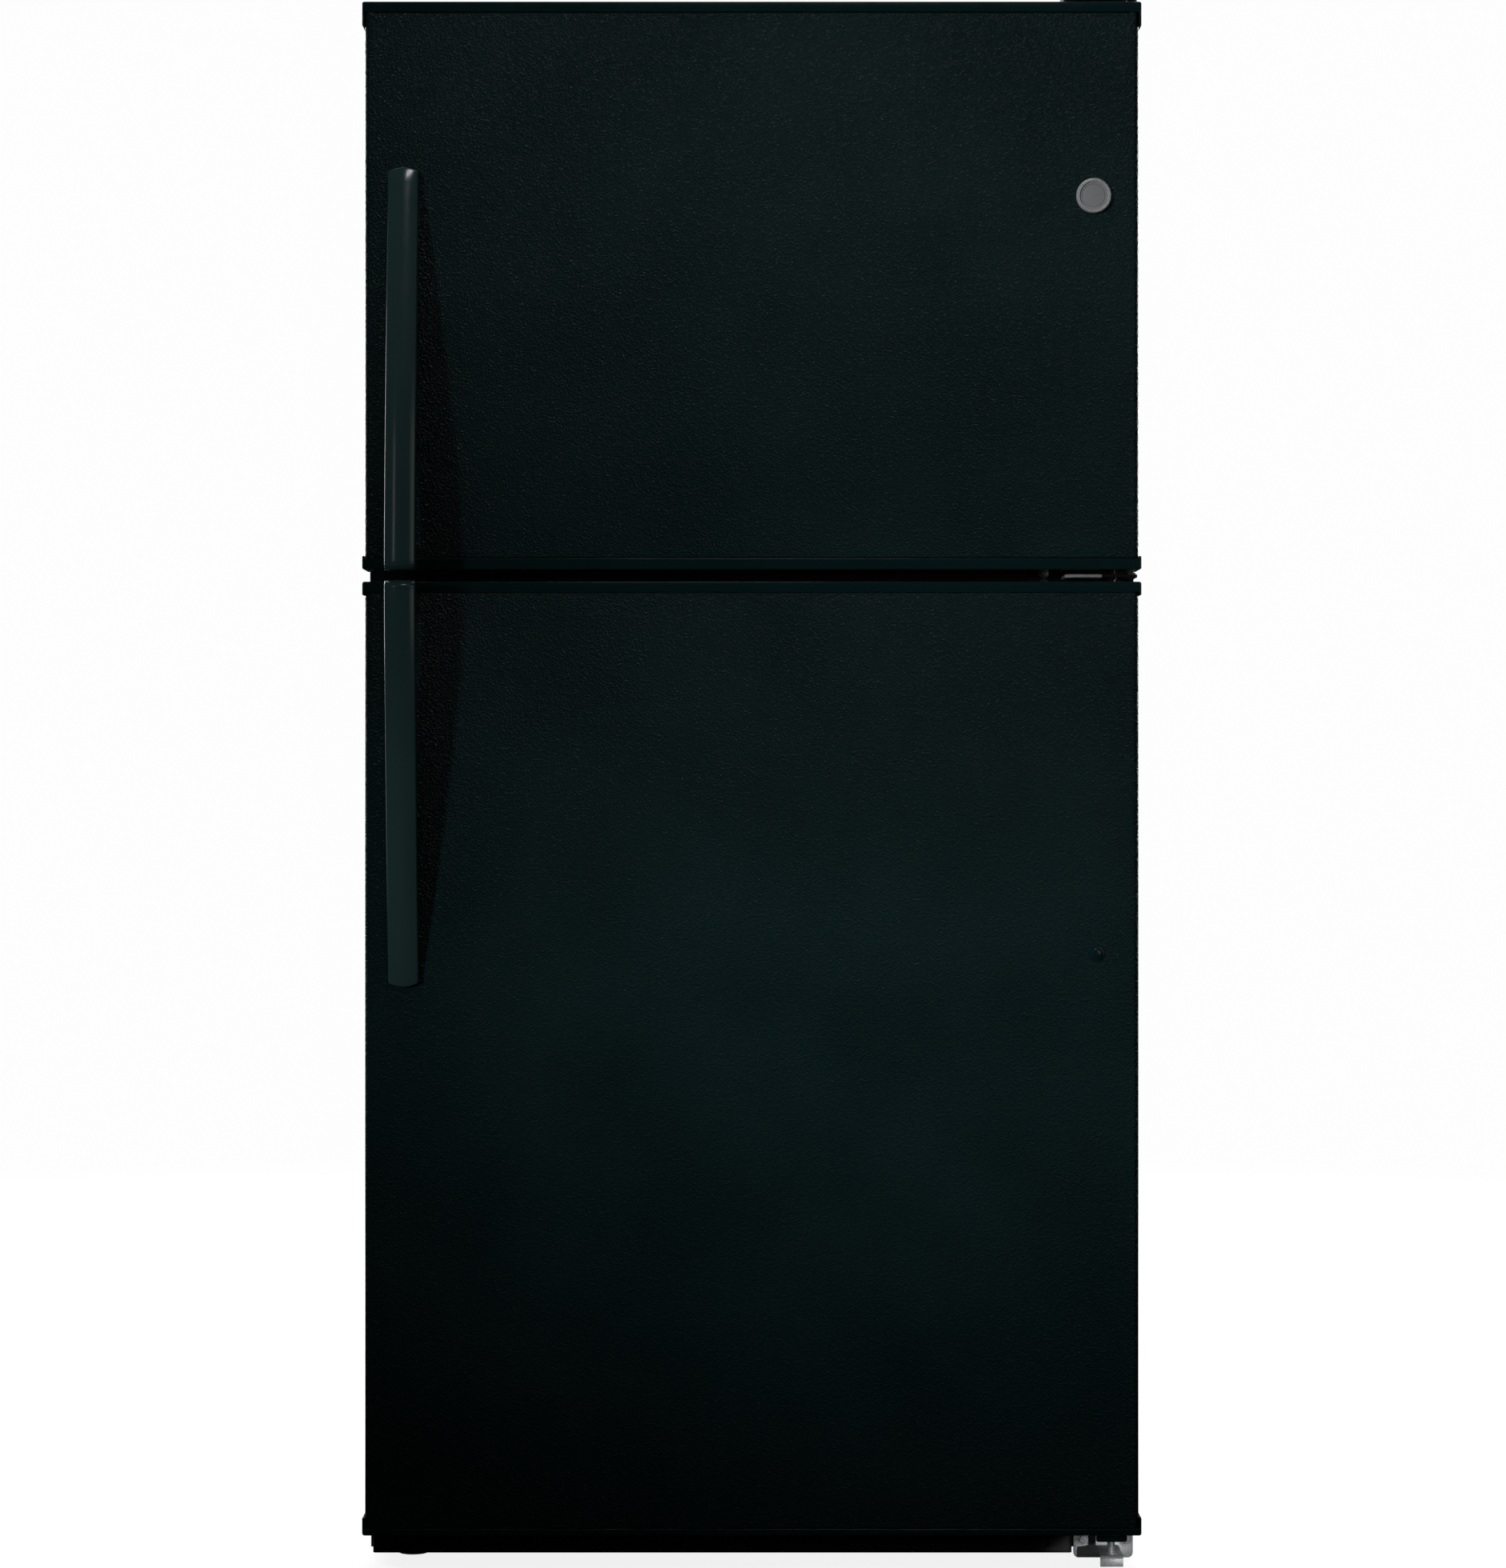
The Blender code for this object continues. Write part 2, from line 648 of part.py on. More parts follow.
def base_grille():
    """Kick plate in front of the chassis, slotted, and cut short for the bottom hinge."""
    right = PIN_X - BOTTOM_HINGE_INBOARD - GRILLE_HINGE_GAP
    low = (-CASE_HALF + GRILLE_FROM_SIDE, CASE_FRONT - GRILLE_PROUD, GRILLE_LOW)
    high = (right, CASE_FRONT - GAP, GRILLE_HIGH)
    bm = box_mesh(low, high)
    bmesh.ops.delete(bm, geom=faces_facing(bm, (0, 1, 0)), context="FACES")
    made = solid_wall(put("base_grille", bm, black_plastic()), GRILLE_WALL)
    pitch = (high[0] - low[0] - 2 * GRILLE_END) / GRILLE_SLOTS
    middle = (GRILLE_LOW + GRILLE_HIGH) / 2
    through = 2 * GRILLE_WALL
    rib = GRILLE_RIB / 2
    boxes = []
    for i in range(GRILLE_SLOTS):
        start = low[0] + GRILLE_END + i * pitch
        for level in (middle - GRILLE_SLOT_BAR / 2 - GRILLE_SLOT_HEIGHT, middle + GRILLE_SLOT_BAR / 2):
            boxes.append(((start + rib, low[1] - through, level),
                          (start + pitch - rib, low[1] + through, level + GRILLE_SLOT_HEIGHT)))
    return cut_boxes(made, boxes)


# hinges

SCREW_HEAD = 0.003
SCREW_SINK = 0.0005  # how far a head runs into its plate
TOP_HINGE_SCREW = 0.006
TOP_HINGE_SCREWS = ((-0.032, 0.030), (0.005, 0.030), (-0.013, 0.062))  # from the pin and the case front
TOP_HINGE_OVER_DOOR = 0.0022
TOP_HINGE_LENGTH = 0.080
TOP_HINGE_SIDES = (0.045, 0.018)  # from the pin
TOP_HINGE_NOSE = 0.012
TOP_PIN_REACH = 0.013


def top_hinge():
    """Stepped plate screwed to the top of the case, with the freezer door's upper pin."""
    rest = CASE_HEIGHT + GAP
    raised = FREEZER_DOOR_TOP + TOP_HINGE_OVER_DOOR
    path = [(CASE_FRONT + TOP_HINGE_LENGTH, rest), (CASE_FRONT + 0.008, rest), (CASE_FRONT + 0.002, raised),
            (PIN_Y - TOP_HINGE_NOSE, raised)]
    left, right = TOP_HINGE_SIDES
    made = strip("top_hinge", path, "YZ", (PIN_X - left, PIN_X + right), HINGE_LEAF, highest, (0, 0, 1),
                 zinc(), None, True)
    pin_low = FREEZER_DOOR_TOP - TOP_PIN_REACH
    pin_high = raised + HINGE_LEAF / 2
    add_pin(made, (PIN_X, PIN_Y, (pin_low + pin_high) / 2), PIN_RADIUS, pin_high - pin_low, "Z")
    head = rest + HINGE_LEAF + SCREW_HEAD / 2 - SCREW_SINK
    for x_shift, y_shift in TOP_HINGE_SCREWS:
        add_pin(made, (PIN_X + x_shift, CASE_FRONT + y_shift, head), TOP_HINGE_SCREW,
                SCREW_HEAD + 2 * SCREW_SINK, "Z", 6)
    return made


COVER_WALL = 0.0015
COVER_HEIGHT = 0.015
COVER_LENGTH = 0.090
COVER_INBOARD = 0.053  # from the pin
COVER_FROM_SIDE = 0.002
COVER_NOSE = 0.017
COVER_ROUNDING = 0.003
COVER_OVER_DOOR = 0.0016


def top_hinge_cover():
    """Low plastic cover over the top hinge, open below and stepped clear of the door."""
    low = (PIN_X - COVER_INBOARD, PIN_Y - COVER_NOSE, CASE_HEIGHT + GAP)
    high = (CASE_HALF - COVER_FROM_SIDE, CASE_FRONT + COVER_LENGTH, CASE_HEIGHT + COVER_HEIGHT)
    bm = box_mesh(low, high)
    bmesh.ops.delete(bm, geom=faces_facing(bm, (0, 0, -1)), context="FACES")
    made = put("top_hinge_cover", bm, black_plastic())
    bevelled(made, COVER_ROUNDING)
    solid_wall(made, COVER_WALL)
    lift = FREEZER_DOOR_TOP + COVER_OVER_DOOR
    beyond = COVER_HEIGHT
    return cut_boxes(made, [((low[0] - beyond, low[1] - beyond, low[2] - beyond),
                             (high[0] + beyond, CASE_FRONT + SHEET, lift))])


CENTER_LEAF = 0.0035
CENTER_FLANGE = 0.0025
CENTER_FLANGE_HALF = 0.0185
CENTER_FLANGE_INBOARD = 0.0865  # from the pin
CENTER_LEAF_INBOARD = 0.050
CENTER_FROM_SIDE = 0.002
CENTER_TAB = 0.0085
CENTER_PIN_REACH = 0.012
CENTER_SCREW_INBOARD = 0.0685
CENTER_SCREW = 0.0032
CENTER_SCREW_RISE = 0.0034  # of each screw from the middle
FLANGE_SCREW_LENGTH = 0.004
FLANGE_SCREW_OUT = 0.0012  # screw's middle ahead of its flange


def center_hinge():
    """Leaf between the doors on a flange screwed to the mullion, with a pin both ways."""
    front = CASE_FRONT - GAP - CENTER_FLANGE
    leaf_low = GAP_MIDDLE - CENTER_LEAF / 2
    flange_low = (PIN_X - CENTER_FLANGE_INBOARD, front, GAP_MIDDLE - CENTER_FLANGE_HALF)
    flange_high = (PIN_X + CENTER_FLANGE_HALF, CASE_FRONT - GAP, GAP_MIDDLE + CENTER_FLANGE_HALF)
    made = block("center_hinge", flange_low, flange_high, zinc())
    right = CASE_HALF - CENTER_FROM_SIDE
    join_boxes(made, [((PIN_X - CENTER_LEAF_INBOARD, PIN_Y - 0.0105, leaf_low),
                       (right, front + 0.001, leaf_low + CENTER_LEAF))])
    join_boxes(made, [((right - CENTER_TAB, PIN_Y + 0.010, leaf_low + 0.001),
                       (right, front - 0.006, FREEZER_DOOR_BOTTOM - 0.0018))])
    add_pin(made, (PIN_X, PIN_Y, GAP_MIDDLE), PIN_RADIUS, BETWEEN_DOORS + 2 * CENTER_PIN_REACH, "Z")
    for rise in (-CENTER_SCREW_RISE, CENTER_SCREW_RISE):
        add_pin(made, (PIN_X - CENTER_SCREW_INBOARD, front - FLANGE_SCREW_OUT, GAP_MIDDLE + rise),
                CENTER_SCREW, FLANGE_SCREW_LENGTH, "Y", 6)
    return made


ARM_TOP = 0.0165
ARM_HALF = 0.0122
ARM_NOSE = 0.012  # ahead of the pin
ARM_NOSE_ROUND = 0.004
ARM_LIP_BOTTOM = 0.0045
ARM_WEB_BOTTOM = 0.006
ARM_WEB_FRONT = CASE_FRONT - 0.030
BOTTOM_PLATE = (0.003, 0.036)  # lower and upper edge
BOTTOM_HINGE_FROM_SIDE = 0.0013
BOTTOM_SCREWS = (-0.0265, 0.0195)  # from the pin
BOTTOM_SCREW = 0.005
BOTTOM_SCREW_LEVEL = 0.0225
BOTTOM_PIN_REACH = 0.012
BOSS_DROP = 0.008


def bottom_hinge():
    """Bracket screwed under the case front, whose arm carries the fridge door's lower pin."""
    front = CASE_FRONT - GAP - HINGE_LEAF
    plate_low, plate_high = BOTTOM_PLATE
    made = block("bottom_hinge", (PIN_X - BOTTOM_HINGE_INBOARD, front, plate_low),
                 (CASE_HALF - BOTTOM_HINGE_FROM_SIDE, CASE_FRONT - GAP, plate_high), zinc())
    nose = PIN_Y - ARM_NOSE
    bend = ARM_NOSE_ROUND
    path = [(front + 0.001, ARM_TOP), (nose + bend, ARM_TOP)]
    path += arc((nose + bend, ARM_TOP - bend), bend, 90, 180, 4)[1:]
    path += [(nose, ARM_LIP_BOTTOM)]
    arm = strip("bottom_hinge_arm", path, "YZ", (PIN_X - ARM_HALF, PIN_X + ARM_HALF), HINGE_LEAF,
                highest, (0, 0, 1), None)
    boolean(made, arm, "UNION")
    webs = []
    for side in (-1, 1):
        ends = sorted((PIN_X + side * ARM_HALF, PIN_X + side * (ARM_HALF - HINGE_LEAF)))
        webs.append(((ends[0], ARM_WEB_FRONT, ARM_WEB_BOTTOM), (ends[1], front + 0.001, ARM_TOP - 0.001)))
    join_boxes(made, webs)
    pin_high = FRIDGE_DOOR_BOTTOM + BOTTOM_PIN_REACH
    pin_low = ARM_TOP - HINGE_LEAF / 2
    add_pin(made, (PIN_X, PIN_Y, (pin_low + pin_high) / 2), PIN_RADIUS, pin_high - pin_low, "Z")
    for x_shift in BOTTOM_SCREWS:
        add_pin(made, (PIN_X + x_shift, front - FLANGE_SCREW_OUT, BOTTOM_SCREW_LEVEL), BOTTOM_SCREW,
                FLANGE_SCREW_LENGTH, "Y", 6)
    return made


# doors

class Door:
    """Levels and ends that one door's pieces share."""

    def __init__(self, name, low, high, low_cap, high_cap, ear_low, ear_high, floor, ceiling):
        self.name = name
        self.low, self.high = low, high
        self.skin_low, self.skin_high = low + low_cap, high - high_cap
        self.low_cap, self.high_cap = low_cap, high_cap
        self.ear_low, self.ear_high = ear_low, ear_high
        self.dike_low, self.dike_high = floor + DIKE_CLEARANCE, ceiling - DIKE_CLEARANCE
        self.pivot = pivot(name + "_pivot", (PIN_X, PIN_Y, (low + high) / 2))


def door_skin(door):
    """Steel front with rounded vertical edges, sides, and a return at the back."""
    r = DOOR_EDGE_RADIUS
    small = DOOR_BACK_BEND
    half, front, back = DOOR_HALF, DOOR_FRONT, DOOR_BACK
    right = [(half - 0.010, back)] + arc((half - small, back - small), small, 90, 0, 3)
    right += arc((half - r, front + r), r, 0, -90, 6)
    left = [(-x, y) for x, y in reversed(right)]
    return strip(door.name + "_skin", right + left, "XY",
                 (door.skin_low + SKIN_END_GAP, door.skin_high - SKIN_END_GAP), DOOR_SHEET,
                 foremost, (0, -1, 0), black_enamel(), door.pivot)


CAP_BACK_CLEARANCE = 0.004


def door_cap(door, top, boss=False):
    """End cap: a strip across the door with an ear down each side, outside the skin."""
    skin = door.skin_high if top else door.skin_low
    end = door.high if top else door.low
    ear = door.ear_high if top else door.ear_low
    inner = DOOR_HALF + GAP
    outer = DOOR_HALF + EAR_PROUD
    chamfer = EAR_PROUD * 0.8
    lead = math.copysign(chamfer, skin - end)
    half = [(outer - chamfer, end), (outer, end + lead), (outer, ear - lead), (inner, ear), (inner, skin)]
    outline = half + [(-x, z) for x, z in reversed(half)]
    label = "_top_cap" if top else "_bottom_cap"
    made = extruded(door.name + label, outline, "XZ", DOOR_FRONT, DOOR_BACK - CAP_BACK_CLEARANCE,
                    black_gloss(), (0, 0, 0), door.pivot)
    bevelled(made, CAP_ROUNDING, 2)
    if boss:
        into = 0.001
        join_boxes(made, [((PIN_X - 0.0165, PIN_Y - 0.012, end - BOSS_DROP),
                           (PIN_X + 0.0165, PIN_Y + 0.020, end + into))])
    reach = abs(skin - end) + 2 * BOSS_DROP
    drill(made, (PIN_X, PIN_Y, (skin + end) / 2), PIN_RADIUS + PIN_CLEARANCE, 2 * reach, "Z")
    return made


def door_core(door):
    """Foam between the skin, the caps and the liner."""
    half = DOOR_HALF - DOOR_SHEET - 2 * GAP
    made = block(door.name + "_core", (-half, DOOR_FRONT + DOOR_SHEET + GAP, door.skin_low + GAP),
                 (half, LINER_PLATE - LINER_WALL - GAP, door.skin_high - GAP), foam(), 0.0, door.pivot)
    bevelled(made, DOOR_EDGE_RADIUS, 3)
    for level in (door.skin_low, door.skin_high):
        drill(made, (PIN_X, PIN_Y, level), PIN_RADIUS + 4 * PIN_CLEARANCE, 0.030, "Z")
    return made


def door_liner(door, ledge=None):
    """Moulded inner panel: plate, raised dike all round, and a shallow pan inside it."""
    half = DOOR_HALF - DOOR_BACK_BEND - GAP
    bm = box_mesh((-half, LINER_PLATE - 0.01, door.skin_low + GAP), (half, LINER_PLATE, door.skin_high - GAP))
    keep = faces_facing(bm, (0, 1, 0))
    bmesh.ops.delete(bm, geom=[f for f in bm.faces if f not in keep], context="FACES")
    outer = CAVITY_HALF - DIKE_CLEARANCE
    ring(bm, keep, outer, door.dike_low, door.dike_high, 0.0)
    slope = 0.004
    ring(bm, keep, outer - slope, door.dike_low + slope, door.dike_high - slope, DIKE_HEIGHT)
    inner = outer - DIKE_WIDTH
    low, high = door.dike_low + DIKE_WIDTH, door.dike_high - DIKE_WIDTH
    ring(bm, keep, inner + slope, low - slope, high + slope, 0.0)
    ring(bm, keep, inner, low, high, PAN_RISE - DIKE_HEIGHT)
    made = solid_wall(put(door.name + "_liner", bm, white_liner(), (0, 0, 0), door.pivot), LINER_WALL)
    if ledge:
        join_boxes(made, [ledge])
    return made


def ring(bm, faces, half, low, high, rise):
    """Inset the middle face to a new rectangle, `rise` further along +Y."""
    bmesh.ops.inset_region(bm, faces=faces, thickness=0.0005, use_boundary=True)
    for vert in faces[0].verts:
        vert.co.x = math.copysign(half, vert.co.x)
        vert.co.z = low if vert.co.z < (low + high) / 2 else high
        vert.co.y += rise


def door_gasket(door):
    """Magnetic seal: a rectangular ring on the liner plate, facing the case."""
    low = door.low + GASKET_FROM_DOOR_END
    high = door.high - GASKET_FROM_DOOR_END
    if door.high > CASE_HEIGHT:
        high = CASE_HEIGHT - FLANGE + 0.002 + GASKET_WIDTH
    start, end = LINER_PLATE + GAP, CASE_FRONT - GAP
    made = block(door.name + "_gasket", (-GASKET_OUT, start, low), (GASKET_OUT, end, high), dark_rubber(),
                 0.0, door.pivot)
    inside = GASKET_OUT - GASKET_WIDTH
    return cut_boxes(made, [((-inside, start - 0.01, low + GASKET_WIDTH),
                             (inside, end + 0.01, high - GASKET_WIDTH))])


def door_bin(name, floor, height, door):
    """Open-topped bin between the sides of the dike, hung on the pan."""
    half = CAVITY_HALF - DIKE_CLEARANCE - DIKE_WIDTH - 0.004
    bm = box_mesh((-half, PAN + GAP, floor), (half, BIN_FRONT, floor + height))
    bmesh.ops.delete(bm, geom=faces_facing(bm, (0, 0, 1)), context="FACES")
    return solid_wall(put(name, bm, clear_plastic(), (0, 0, 0), door.pivot), BIN_WALL)


def handle_rise(share):
    """How far the handle's face stands off the door, 0 at the gap end to 1 at the tip."""
    return HANDLE_TIP + (HANDLE_STANDOFF - HANDLE_TIP) * (1 - share ** HANDLE_RISE_POWER)


def door_handle(door, gap_end, direction):
    """Bar that leaves the door at its tip and stands off it at the end by the gap."""
    outer_steps = HANDLE_STEPS
    inner_end = (1 - (HANDLE_BAR - HANDLE_TIP) / (HANDLE_STANDOFF - HANDLE_TIP)) ** (1 / HANDLE_RISE_POWER)
    start = HANDLE_FOOT + HANDLE_CORNER
    corner = HANDLE_CORNER
    shares = [1 - i / outer_steps for i in range(outer_steps)]
    outline = [(HANDLE_LENGTH, GAP)]
    outline += [(s * HANDLE_LENGTH, handle_rise(s)) for s in shares]
    outline += arc((corner, HANDLE_STANDOFF - corner), corner, 90, 180, 3)
    outline += [(0.0, GAP), (HANDLE_FOOT, GAP)]
    first = start / HANDLE_LENGTH
    lift = handle_rise(first) - HANDLE_BAR
    outline += [(HANDLE_FOOT, lift - HANDLE_FOOT_CHAMFER)]
    inner = [first + (inner_end - first) * i / outer_steps for i in range(outer_steps)]
    outline += [(s * HANDLE_LENGTH, handle_rise(s) - HANDLE_BAR) for s in inner]
    outline += [(inner_end * HANDLE_LENGTH, GAP)]
    world = [(DOOR_FRONT - depth, gap_end + direction * along) for along, depth in outline]
    middle = HANDLE_FROM_EDGE - DOOR_HALF
    made = extruded(door.name + "_handle", world, "YZ", middle - HANDLE_WIDTH / 2, middle + HANDLE_WIDTH / 2,
                    black_gloss(), (0, 0, 0), door.pivot)
    return bevelled(made, HANDLE_ROUNDING, 2)


def round_trim(name, place, radius, thickness, dome, material, door):
    """A small round piece on the door's front: a disc with a rounded rim."""
    profile = [(0.0, thickness + dome), (radius * 0.5, thickness + dome * 0.75),
               (radius * 0.85, thickness), (radius, thickness * 0.55), (radius, GAP), (0.0, GAP)]
    return turned(name, profile, material, place, "-Y", ROUND_STEPS, door.pivot)


def freezer_door():
    door = Door("freezer_door", FREEZER_DOOR_BOTTOM, FREEZER_DOOR_TOP, 0.012, 0.011,
                FREEZER_DOOR_BOTTOM + 0.015, FREEZER_DOOR_TOP - 0.027, FREEZER_FLOOR, FREEZER_CEILING)
    door_skin(door)
    door_cap(door, True)
    door_cap(door, False)
    door_core(door)
    door_liner(door)
    door_gasket(door)
    door_bin("freezer_bin_lower", FREEZER_FLOOR + 0.050, 0.095, door)
    door_bin("freezer_bin_upper", FREEZER_FLOOR + 0.265, 0.095, door)
    door_handle(door, FREEZER_DOOR_BOTTOM - 0.0034, 1)
    round_trim("door_badge", (CASE_HALF - 0.0493, DOOR_FRONT, FREEZER_DOOR_TOP - 0.2084), BADGE_RADIUS,
               BADGE_THICKNESS, 0.0, chrome(), door)


FRIDGE_BINS = (("fridge_bin_lower", 0.052, 0.125), ("fridge_bin_middle", 0.345, 0.095),
               ("fridge_bin_upper", 0.580, 0.085))
DAIRY_FLOOR = FRIDGE_CEILING - 0.160
DAIRY_AXIS_Z = FRIDGE_CEILING - 0.050
DAIRY_AXIS_Y = BIN_FRONT - 0.012
LID_WALL = 0.003
LID_AXLE = 0.004


def fridge_door():
    door = Door("fridge_door", FRIDGE_DOOR_BOTTOM, FRIDGE_DOOR_TOP, 0.007, 0.011,
                FRIDGE_DOOR_BOTTOM + 0.020, FRIDGE_DOOR_TOP - 0.015, FRIDGE_FLOOR, FRIDGE_CEILING)
    half = CAVITY_HALF - DIKE_CLEARANCE - DIKE_WIDTH - 0.004
    door_skin(door)
    door_cap(door, True)
    door_cap(door, False, True)
    door_core(door)
    door_liner(door, ((-half, PAN - LINER_WALL / 2, DAIRY_FLOOR - 0.004), (half, DAIRY_AXIS_Y, DAIRY_FLOOR)))
    door_gasket(door)
    for name, above_floor, height in FRIDGE_BINS:
        door_bin(name, FRIDGE_FLOOR + above_floor, height, door)
    door_handle(door, FRIDGE_DOOR_TOP - 0.0006, -1)
    round_trim("handle_hole_plug", (CASE_HALF - 0.0466, DOOR_FRONT, FRIDGE_DOOR_TOP - 0.3995), PLUG_RADIUS,
               0.0015, 0.0015, black_gloss(), door)
    dairy_lid(door, half)


def dairy_lid(door, half):
    """Flap over the butter shelf. It turns on an axle along its upper edge."""
    axis = pivot("dairy_lid_pivot", (0, DAIRY_AXIS_Y, DAIRY_AXIS_Z))
    axis.parent = door.pivot
    axis.matrix_parent_inverse = Matrix.Translation(-door.pivot.location)
    low = DAIRY_FLOOR + 0.002
    bm = box_mesh((-half + 0.002, DAIRY_AXIS_Y - LID_WALL / 2, low),
                  (half - 0.002, DAIRY_AXIS_Y + LID_WALL / 2, DAIRY_AXIS_Z))
    made = put("dairy_lid", bm, clear_plastic(), (0, DAIRY_AXIS_Y, DAIRY_AXIS_Z), axis)
    made.matrix_parent_inverse = Matrix.Translation(-Vector((0, DAIRY_AXIS_Y, DAIRY_AXIS_Z)))
    add_pin(made, (0, DAIRY_AXIS_Y, DAIRY_AXIS_Z), LID_AXLE, 2 * half - 0.001, "X")


# inside the case

def shelves():
    """The glass and plastic shelves, each resting on its rails."""
    half = CAVITY_HALF - SHELF_SIDE_CLEARANCE
    frames = [("freezer_shelf", FREEZER_SHELF_LEVEL, SHELF_FRONT, SHELF_BACK, white_liner()),
              ("fridge_shelf_lower", FRIDGE_SHELF_LEVELS[0], SHELF_FRONT, FRIDGE_SHELF_BACK, shelf_glass()),
              ("fridge_shelf_upper", FRIDGE_SHELF_LEVELS[1], SHELF_FRONT, FRIDGE_SHELF_BACK, shelf_glass()),
              ("crisper_cover", CRISPER_COVER_LEVEL, SHELF_FRONT + LEDGE_SETBACK, FRIDGE_SHELF_BACK,
               shelf_glass())]
    for name, level, front, back, material in frames:
        block(name, (-half, front, level + GAP), (half, back, level + GAP + SHELF_THICKNESS), material, 0.002)


DRAWER_WALL = 0.0025
DRAWER_MIDDLE_GAP = 0.004  # each drawer's side from the middle of the case
DRAWER_BACK_GAP = 0.006
GRIP_HALF = 0.070
GRIP_REACH = 0.014
GRIP_TOP = 0.020  # below the drawer's rim
GRIP_SHEET = 0.004
SLIDER_HALF = 0.030
SLIDER_TOP = 0.005
SLIDER_HEIGHT = 0.009
SLIDER_DEPTH = 0.0045


def crisper_drawers():
    """Two open boxes side by side under their cover, each with a humidity slider."""
    half = CAVITY_HALF - LEDGE_WIDTH - DRAWER_MIDDLE_GAP
    floor = DRAWER_FLOOR
    back = HUMP_FRONT - DRAWER_BACK_GAP
    for side, label in ((-1, "left"), (1, "right")):
        ends = sorted((side * DRAWER_MIDDLE_GAP, side * half))
        bm = box_mesh((ends[0], DRAWER_FRONT, floor), (ends[1], back, floor + DRAWER_HEIGHT))
        bmesh.ops.delete(bm, geom=faces_facing(bm, (0, 0, 1)), context="FACES")
        made = put("crisper_drawer_" + label, bm, clear_plastic())
        solid_wall(made, DRAWER_WALL)
        middle = (ends[0] + ends[1]) / 2
        top = floor + DRAWER_HEIGHT
        into = DRAWER_WALL * 0.4
        grip = ((middle - GRIP_HALF, DRAWER_FRONT - GRIP_REACH, top - GRIP_TOP - GRIP_SHEET),
                (middle + GRIP_HALF, DRAWER_FRONT + into, top - GRIP_TOP))
        join_boxes(made, [grip])
        slider_low = (middle - SLIDER_HALF, DRAWER_FRONT - SLIDER_DEPTH, top - SLIDER_TOP - SLIDER_HEIGHT)
        slider_high = (middle + SLIDER_HALF, DRAWER_FRONT - GAP, top - SLIDER_TOP)
        block("humidity_slider_" + label, slider_low, slider_high, white_liner(), 0.001)


HOUSING_HALF = 0.200
HOUSING_FRONT = CASE_FRONT + 0.330
HOUSING_DROP = 0.055
KNOB_RADIUS = 0.017
KNOB_DEPTH = 0.016
KNOB_SPINDLE = 0.003


def control_housing():
    """Box under the fridge ceiling with both temperature knobs on its front."""
    low = (-HOUSING_HALF, HOUSING_FRONT, FRIDGE_CEILING - HOUSING_DROP)
    high = (HOUSING_HALF, CAVITY_BACK - GAP, FRIDGE_CEILING - GAP)
    made = block("control_housing", low, high, white_liner(), 0.004)
    level = FRIDGE_CEILING - HOUSING_DROP / 2
    for side, label in ((-1, "freezer"), (1, "fridge")):
        place = (side * HOUSING_HALF / 2, HOUSING_FRONT, level)
        drill(made, place, KNOB_SPINDLE + PIN_CLEARANCE, 0.024, "Y", SMALL_STEPS)
        temperature_knob(label + "_temp_knob", place)
    return made


def temperature_knob(name, place):
    """Round knob with a raised bar across it, on a short spindle."""
    inner = -0.010
    profile = [(0.0, KNOB_DEPTH), (KNOB_RADIUS - 0.003, KNOB_DEPTH), (KNOB_RADIUS, KNOB_DEPTH - 0.003),
               (KNOB_RADIUS, GAP * 2), (KNOB_SPINDLE, GAP * 2), (KNOB_SPINDLE, inner), (0.0, inner)]
    made = turned(name, profile, white_liner(), place, "-Y", ROUND_STEPS)
    front = place[1] - KNOB_DEPTH
    join_boxes(made, [((place[0] - 0.0025, front - 0.006, place[2] - 0.014),
                       (place[0] + 0.0025, front + 0.001, place[2] + 0.014))])


def light_switch_plunger():
    """Button in the mullion that the shut fridge door nearly touches."""
    tip = DOOR_BACK - CAP_BACK_CLEARANCE + PLUNGER_FROM_CAP
    profile = [(0.0, 0.0), (PLUNGER_RADIUS - 0.001, 0.0), (PLUNGER_RADIUS, -0.001),
               (PLUNGER_RADIUS, -PLUNGER_LENGTH), (0.0, -PLUNGER_LENGTH)]
    turned("light_switch_plunger", profile, white_liner(), (PLUNGER_X, tip, PLUNGER_Z), "-Y", SMALL_STEPS)


# cooling

FAN_BLADES = 5
FAN_HUB_RADIUS = 0.014
FAN_HUB_DEPTH = 0.014
FAN_SPINDLE = 0.003
FAN_BLADE_HALF = 0.012
FAN_BLADE_TWIST = 22
EVAPORATOR_FAN_Z = FREEZER_CEILING - 0.110
EVAPORATOR_FAN_RADIUS = 0.050
EVAPORATOR_FAN_HOLE = 0.055
EVAPORATOR_FAN_BEHIND = 0.012  # fan's middle behind its panel's front
COVER_SHEET = 0.003
AIR_SLOTS = 8
AIR_SLOT_PITCH = 0.060
AIR_SLOT_RIB = 0.008
AIR_SLOT_LEVELS = (0.030, 0.042)
MOTOR_BAR_HALF = 0.008
MOTOR_BAR = 0.004
MOTOR_RADIUS = 0.018
MOTOR_LENGTH = 0.016
COIL_BEHIND = 0.038
COIL_HALF = 0.300
COIL_TUBE = 0.005
COIL_PASSES = 6


